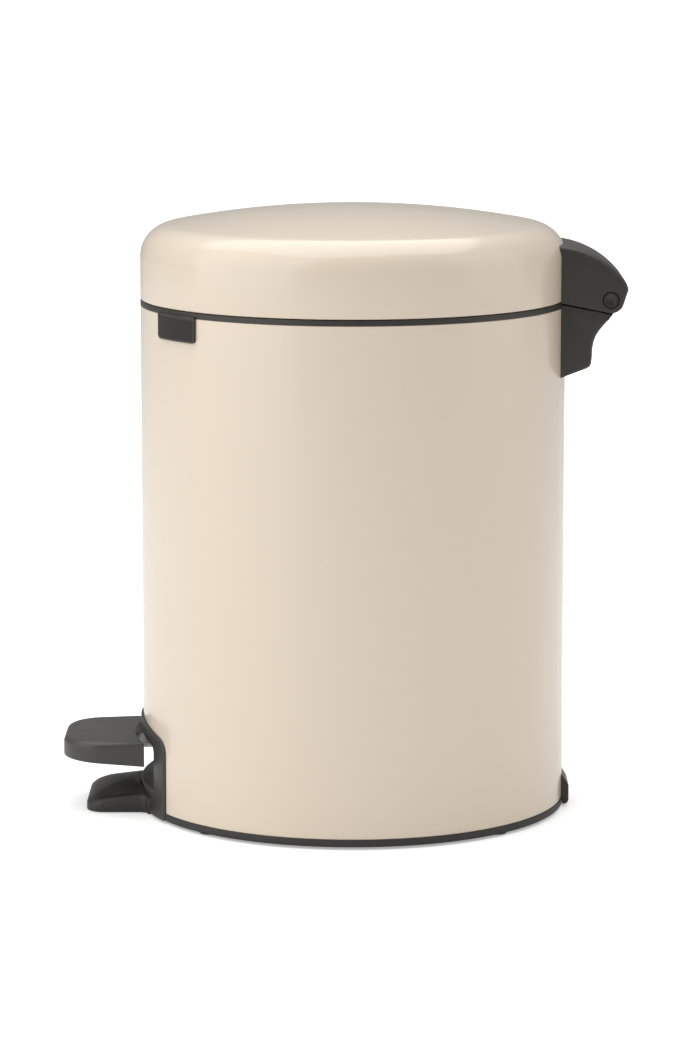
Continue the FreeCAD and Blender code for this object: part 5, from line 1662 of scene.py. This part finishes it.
@dataclass
class PushRod:
    """Bent wire from the lever to the crank."""

    side: float = -0.011
    low: float = 0.011
    inner: float = 0.094
    outer: float = 0.111
    top: float = 0.24045
    radius: float = 0.002
    bend: float = 0.004

    def build(self) -> None:
        """Sweep the rod and dress its clips."""
        corners = [
            Vector((0.01, self.inner, self.low)),
            Vector((self.side, self.inner, self.low)),
            Vector((self.side, self.inner, 0.213)),
            Vector((self.side, self.outer, 0.232)),
            Vector((self.side, self.outer, self.top)),
            Vector((0.0055, self.outer, self.top)),
        ]
        rod = WirePiece("push_rod_wire", Finishes.ROD, self.radius, bent(corners, self.bend)).build()
        dressed(rod, Finishes.ROD, "rod", "push_rod")
        kept("rod_clips", Finishes.SPRING)


@dataclass
class MouldedBase:
    """Base with its lip, floor ring, lugs, ribs and rear bumper."""

    lip: float = 0.10287
    low: float = 0.0012
    lip_top: float = 0.00485
    wall_top: float = 0.01585
    axle: Point = (-0.054, 0.0275)

    def build(self) -> None:
        """Make the lip's moulding and what is under it."""
        section = [(0.0, 0.0024), (0.078, 0.0024), (0.078, self.low), (self.lip - 0.0008, self.low)]
        section += arc((self.lip - 0.0008, self.low + 0.0008), 0.0008, -90.0, 0.0, 4)[1:]
        section += arc((self.lip - 0.0003, self.lip_top - 0.0003), 0.0003, 0.0, 90.0, 3)
        section += [(0.1016, self.lip_top), (0.1016, self.wall_top), (0.0996, self.wall_top)]
        section += [(0.0996, 0.0044), (0.0, 0.0044)]
        base = lathe(section, 256).piece("base_dish")
        half = 0.0503
        turn = math.degrees(math.asin(half / 0.0972))
        notch = [(-half, -0.12), (half, -0.12)] + arc((0.0, 0.0), 0.0972, -90.0 + turn, -90.0 - turn, 24)
        cut_away(base, cutter("frame_room", notch, -0.01, 0.03, upright))
        posts = []
        for side in (-1.0, 1.0):
            post = [(-0.064, 0.0034), (-0.044, 0.0034)] + arc(self.axle, 0.0055, 0.0, 180.0, 14)
            low, high = sorted((side * 0.009, side * 0.014))
            block = slab(post, low, high, (0.0005, 0.0005), sideways).piece("axle_post")
            bore = plain_bar("axle_bore", 0.00255, low - 0.001, high + 0.001, self.axle)
            posts.append(cut_away(block, bore))
        dressed(merged("base_dish_moulding", [base, *posts]), Finishes.BASE, "can", "base_moulding")
        lugs = RadialSet("floor_lugs", Finishes.BASE, 4, 0.096, (0.01, 0.01, 0.0012), 0.0008, math.pi / 4, True)
        dressed(lugs.build(), Finishes.BASE, "can")
        ribs = RadialSet("base_ribs", Finishes.BASE, 16, 0.046, (0.06, 0.0016, 0.0012), 0.0019, math.pi / 16)
        dressed(ribs.build(), Finishes.BASE, "can")
        ring = [(0.0803, 0.0), (0.0820, 0.0), (0.0823, 0.0004), (0.0829, 0.0004), (0.0832, 0.0), (0.0848, 0.0)]
        ring += [(0.0851, 0.0004), (0.0857, 0.0004), (0.0860, 0.0), (0.0877, 0.0), (0.088, 0.0003)]
        ring += [(0.088, 0.0012), (0.08, 0.0012), (0.08, 0.0003)]
        dressed(lathe(ring, 192).piece("grip_ring"), Finishes.RUBBER, "can", "floor_ring")
        kept("rear_bumper", Finishes.TRIM)


@dataclass
class InnerBucket:
    """Lift-out bucket and its folded bail."""

    bow: float = 0.0925
    bend: float = 0.0035
    axis: float = 0.24365
    wire: float = 0.00175

    def build(self) -> None:
        """Dress the bucket and sweep the bail."""
        kept("inner_bucket", Finishes.BUCKET)
        end = self.bow - self.bend - 0.005
        path = [(-end, 0.0)] + arc((-self.bow + self.bend, -self.bend), self.bend, 90.0, 180.0, 8)
        path += arc((0.0, -self.bend), self.bow, 180.0, 360.0, 120)[1:-1]
        path += arc((self.bow - self.bend, -self.bend), self.bend, 0.0, 90.0, 8) + [(end, 0.0)]
        places = [Vector((x, y, self.axis)) for x, y in path]
        bail = WirePiece("bail_wire_bow", Finishes.BAIL, self.wire, places).build()
        dressed(bail, Finishes.BAIL, "bail", "bucket_bail")


# --------------------------------------------------------------- studio


@dataclass
class SoftBox:
    """A soft area light that faces a point."""

    name: str
    place: tuple[float, float, float]
    target: tuple[float, float, float]
    size: tuple[float, float]
    power: float
    colour: Colour = (1.0, 1.0, 1.0)

    def build(self) -> None:
        """Hang the light."""
        data = bpy.data.lights.new(self.name, "AREA")
        data.shape = "RECTANGLE"
        data.size, data.size_y = self.size
        data.energy = self.power
        data.color = self.colour
        lamp = bpy.data.objects.new(self.name, data)
        lamp.location = self.place
        aim = Vector(self.target) - Vector(self.place)
        lamp.rotation_euler = aim.to_track_quat("-Z", "Y").to_euler()
        bpy.context.scene.collection.objects.link(lamp)


@dataclass
class Studio:
    """Pale floor, soft light and the camera."""

    camera_place: tuple[float, float, float] = (1.95627, 0.0, 0.45347)
    pitch: float = 0.16018
    yaw: float = 0.00122
    lens: float = 139.52
    floor_half: float = 14.0
    room_light: float = 0.33
    backdrop_light: float = 1.1
    lights: list[SoftBox] = field(
        default_factory=lambda: [
            SoftBox("left_wall", (0.85, -1.55, 0.75), (0.0, 0.0, 0.15), (2.3, 2.4), 20.0),
            SoftBox("right_wall", (0.3, 1.9, 0.7), (0.0, 0.0, 0.15), (1.6, 2.2), 6.5),
            SoftBox("overhead", (-0.2, -0.1, 2.0), (0.0, 0.0, 0.0), (2.6, 2.6), 38.0),
        ]
    )

    def build(self) -> None:
        """Set up floor, world, lights and camera."""
        self.make_floor()
        self.make_world()
        for light in self.lights:
            light.build()
        data = bpy.data.cameras.new("camera")
        data.lens = self.lens
        data.sensor_width = 36.0
        data.clip_start, data.clip_end = 0.05, 50.0
        camera = bpy.data.objects.new("camera", data)
        camera.location = self.camera_place
        level = math.cos(self.pitch)
        aim = Vector((-level, -self.yaw * level, -math.sin(self.pitch)))
        camera.rotation_euler = aim.to_track_quat("-Z", "Y").to_euler()
        bpy.context.scene.collection.objects.link(camera)
        bpy.context.scene.camera = camera
        bpy.context.scene.view_settings.view_transform = "Standard"

    def make_floor(self) -> None:
        """Lay the paper out to the far distance."""
        mesh = bmesh.new()
        bmesh.ops.create_grid(mesh, x_segments=24, y_segments=24, size=self.floor_half)
        data = bpy.data.meshes.new("studio_floor")
        mesh.to_mesh(data)
        mesh.free()
        floor = bpy.data.objects.new("studio_floor", data)
        paper = StudioPaper("pale_studio_paper", "", (0.93, 0.93, 0.93))
        data.materials.append(paper.material())
        bpy.context.scene.collection.objects.link(floor)

    def make_world(self) -> None:
        """Fill the room with even light and keep the backdrop white."""
        world = bpy.data.worlds.new("studio_world")
        world.use_nodes = True
        nodes, links = world.node_tree.nodes, world.node_tree.links
        nodes.clear()
        path = nodes.new("ShaderNodeLightPath")
        room = nodes.new("ShaderNodeBackground")
        room.inputs["Strength"].default_value = self.room_light
        backdrop = nodes.new("ShaderNodeBackground")
        backdrop.inputs["Strength"].default_value = self.backdrop_light
        for background in (room, backdrop):
            background.inputs["Color"].default_value = (1.0, 1.0, 1.0, 1.0)
        choice = nodes.new("ShaderNodeMixShader")
        end = nodes.new("ShaderNodeOutputWorld")
        links.new(path.outputs["Is Camera Ray"], choice.inputs[0])
        links.new(room.outputs[0], choice.inputs[1])
        links.new(backdrop.outputs[0], choice.inputs[2])
        links.new(choice.outputs[0], end.inputs["Surface"])
        bpy.context.scene.world = world


def main() -> None:
    """Build the can's sub-assemblies in order, then the studio."""
    logging.basicConfig(level=logging.INFO, format="%(message)s")
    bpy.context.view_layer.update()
    order = (MouldedBase, SteelBody, PedalFrame, HingeBracket, DomedLid, FootPedal, PushRod, InnerBucket)
    for assembly in order:
        log.info("%s", assembly.__name__)
        assembly().build()
    Studio().build()


if __name__ == "__main__":
    main()
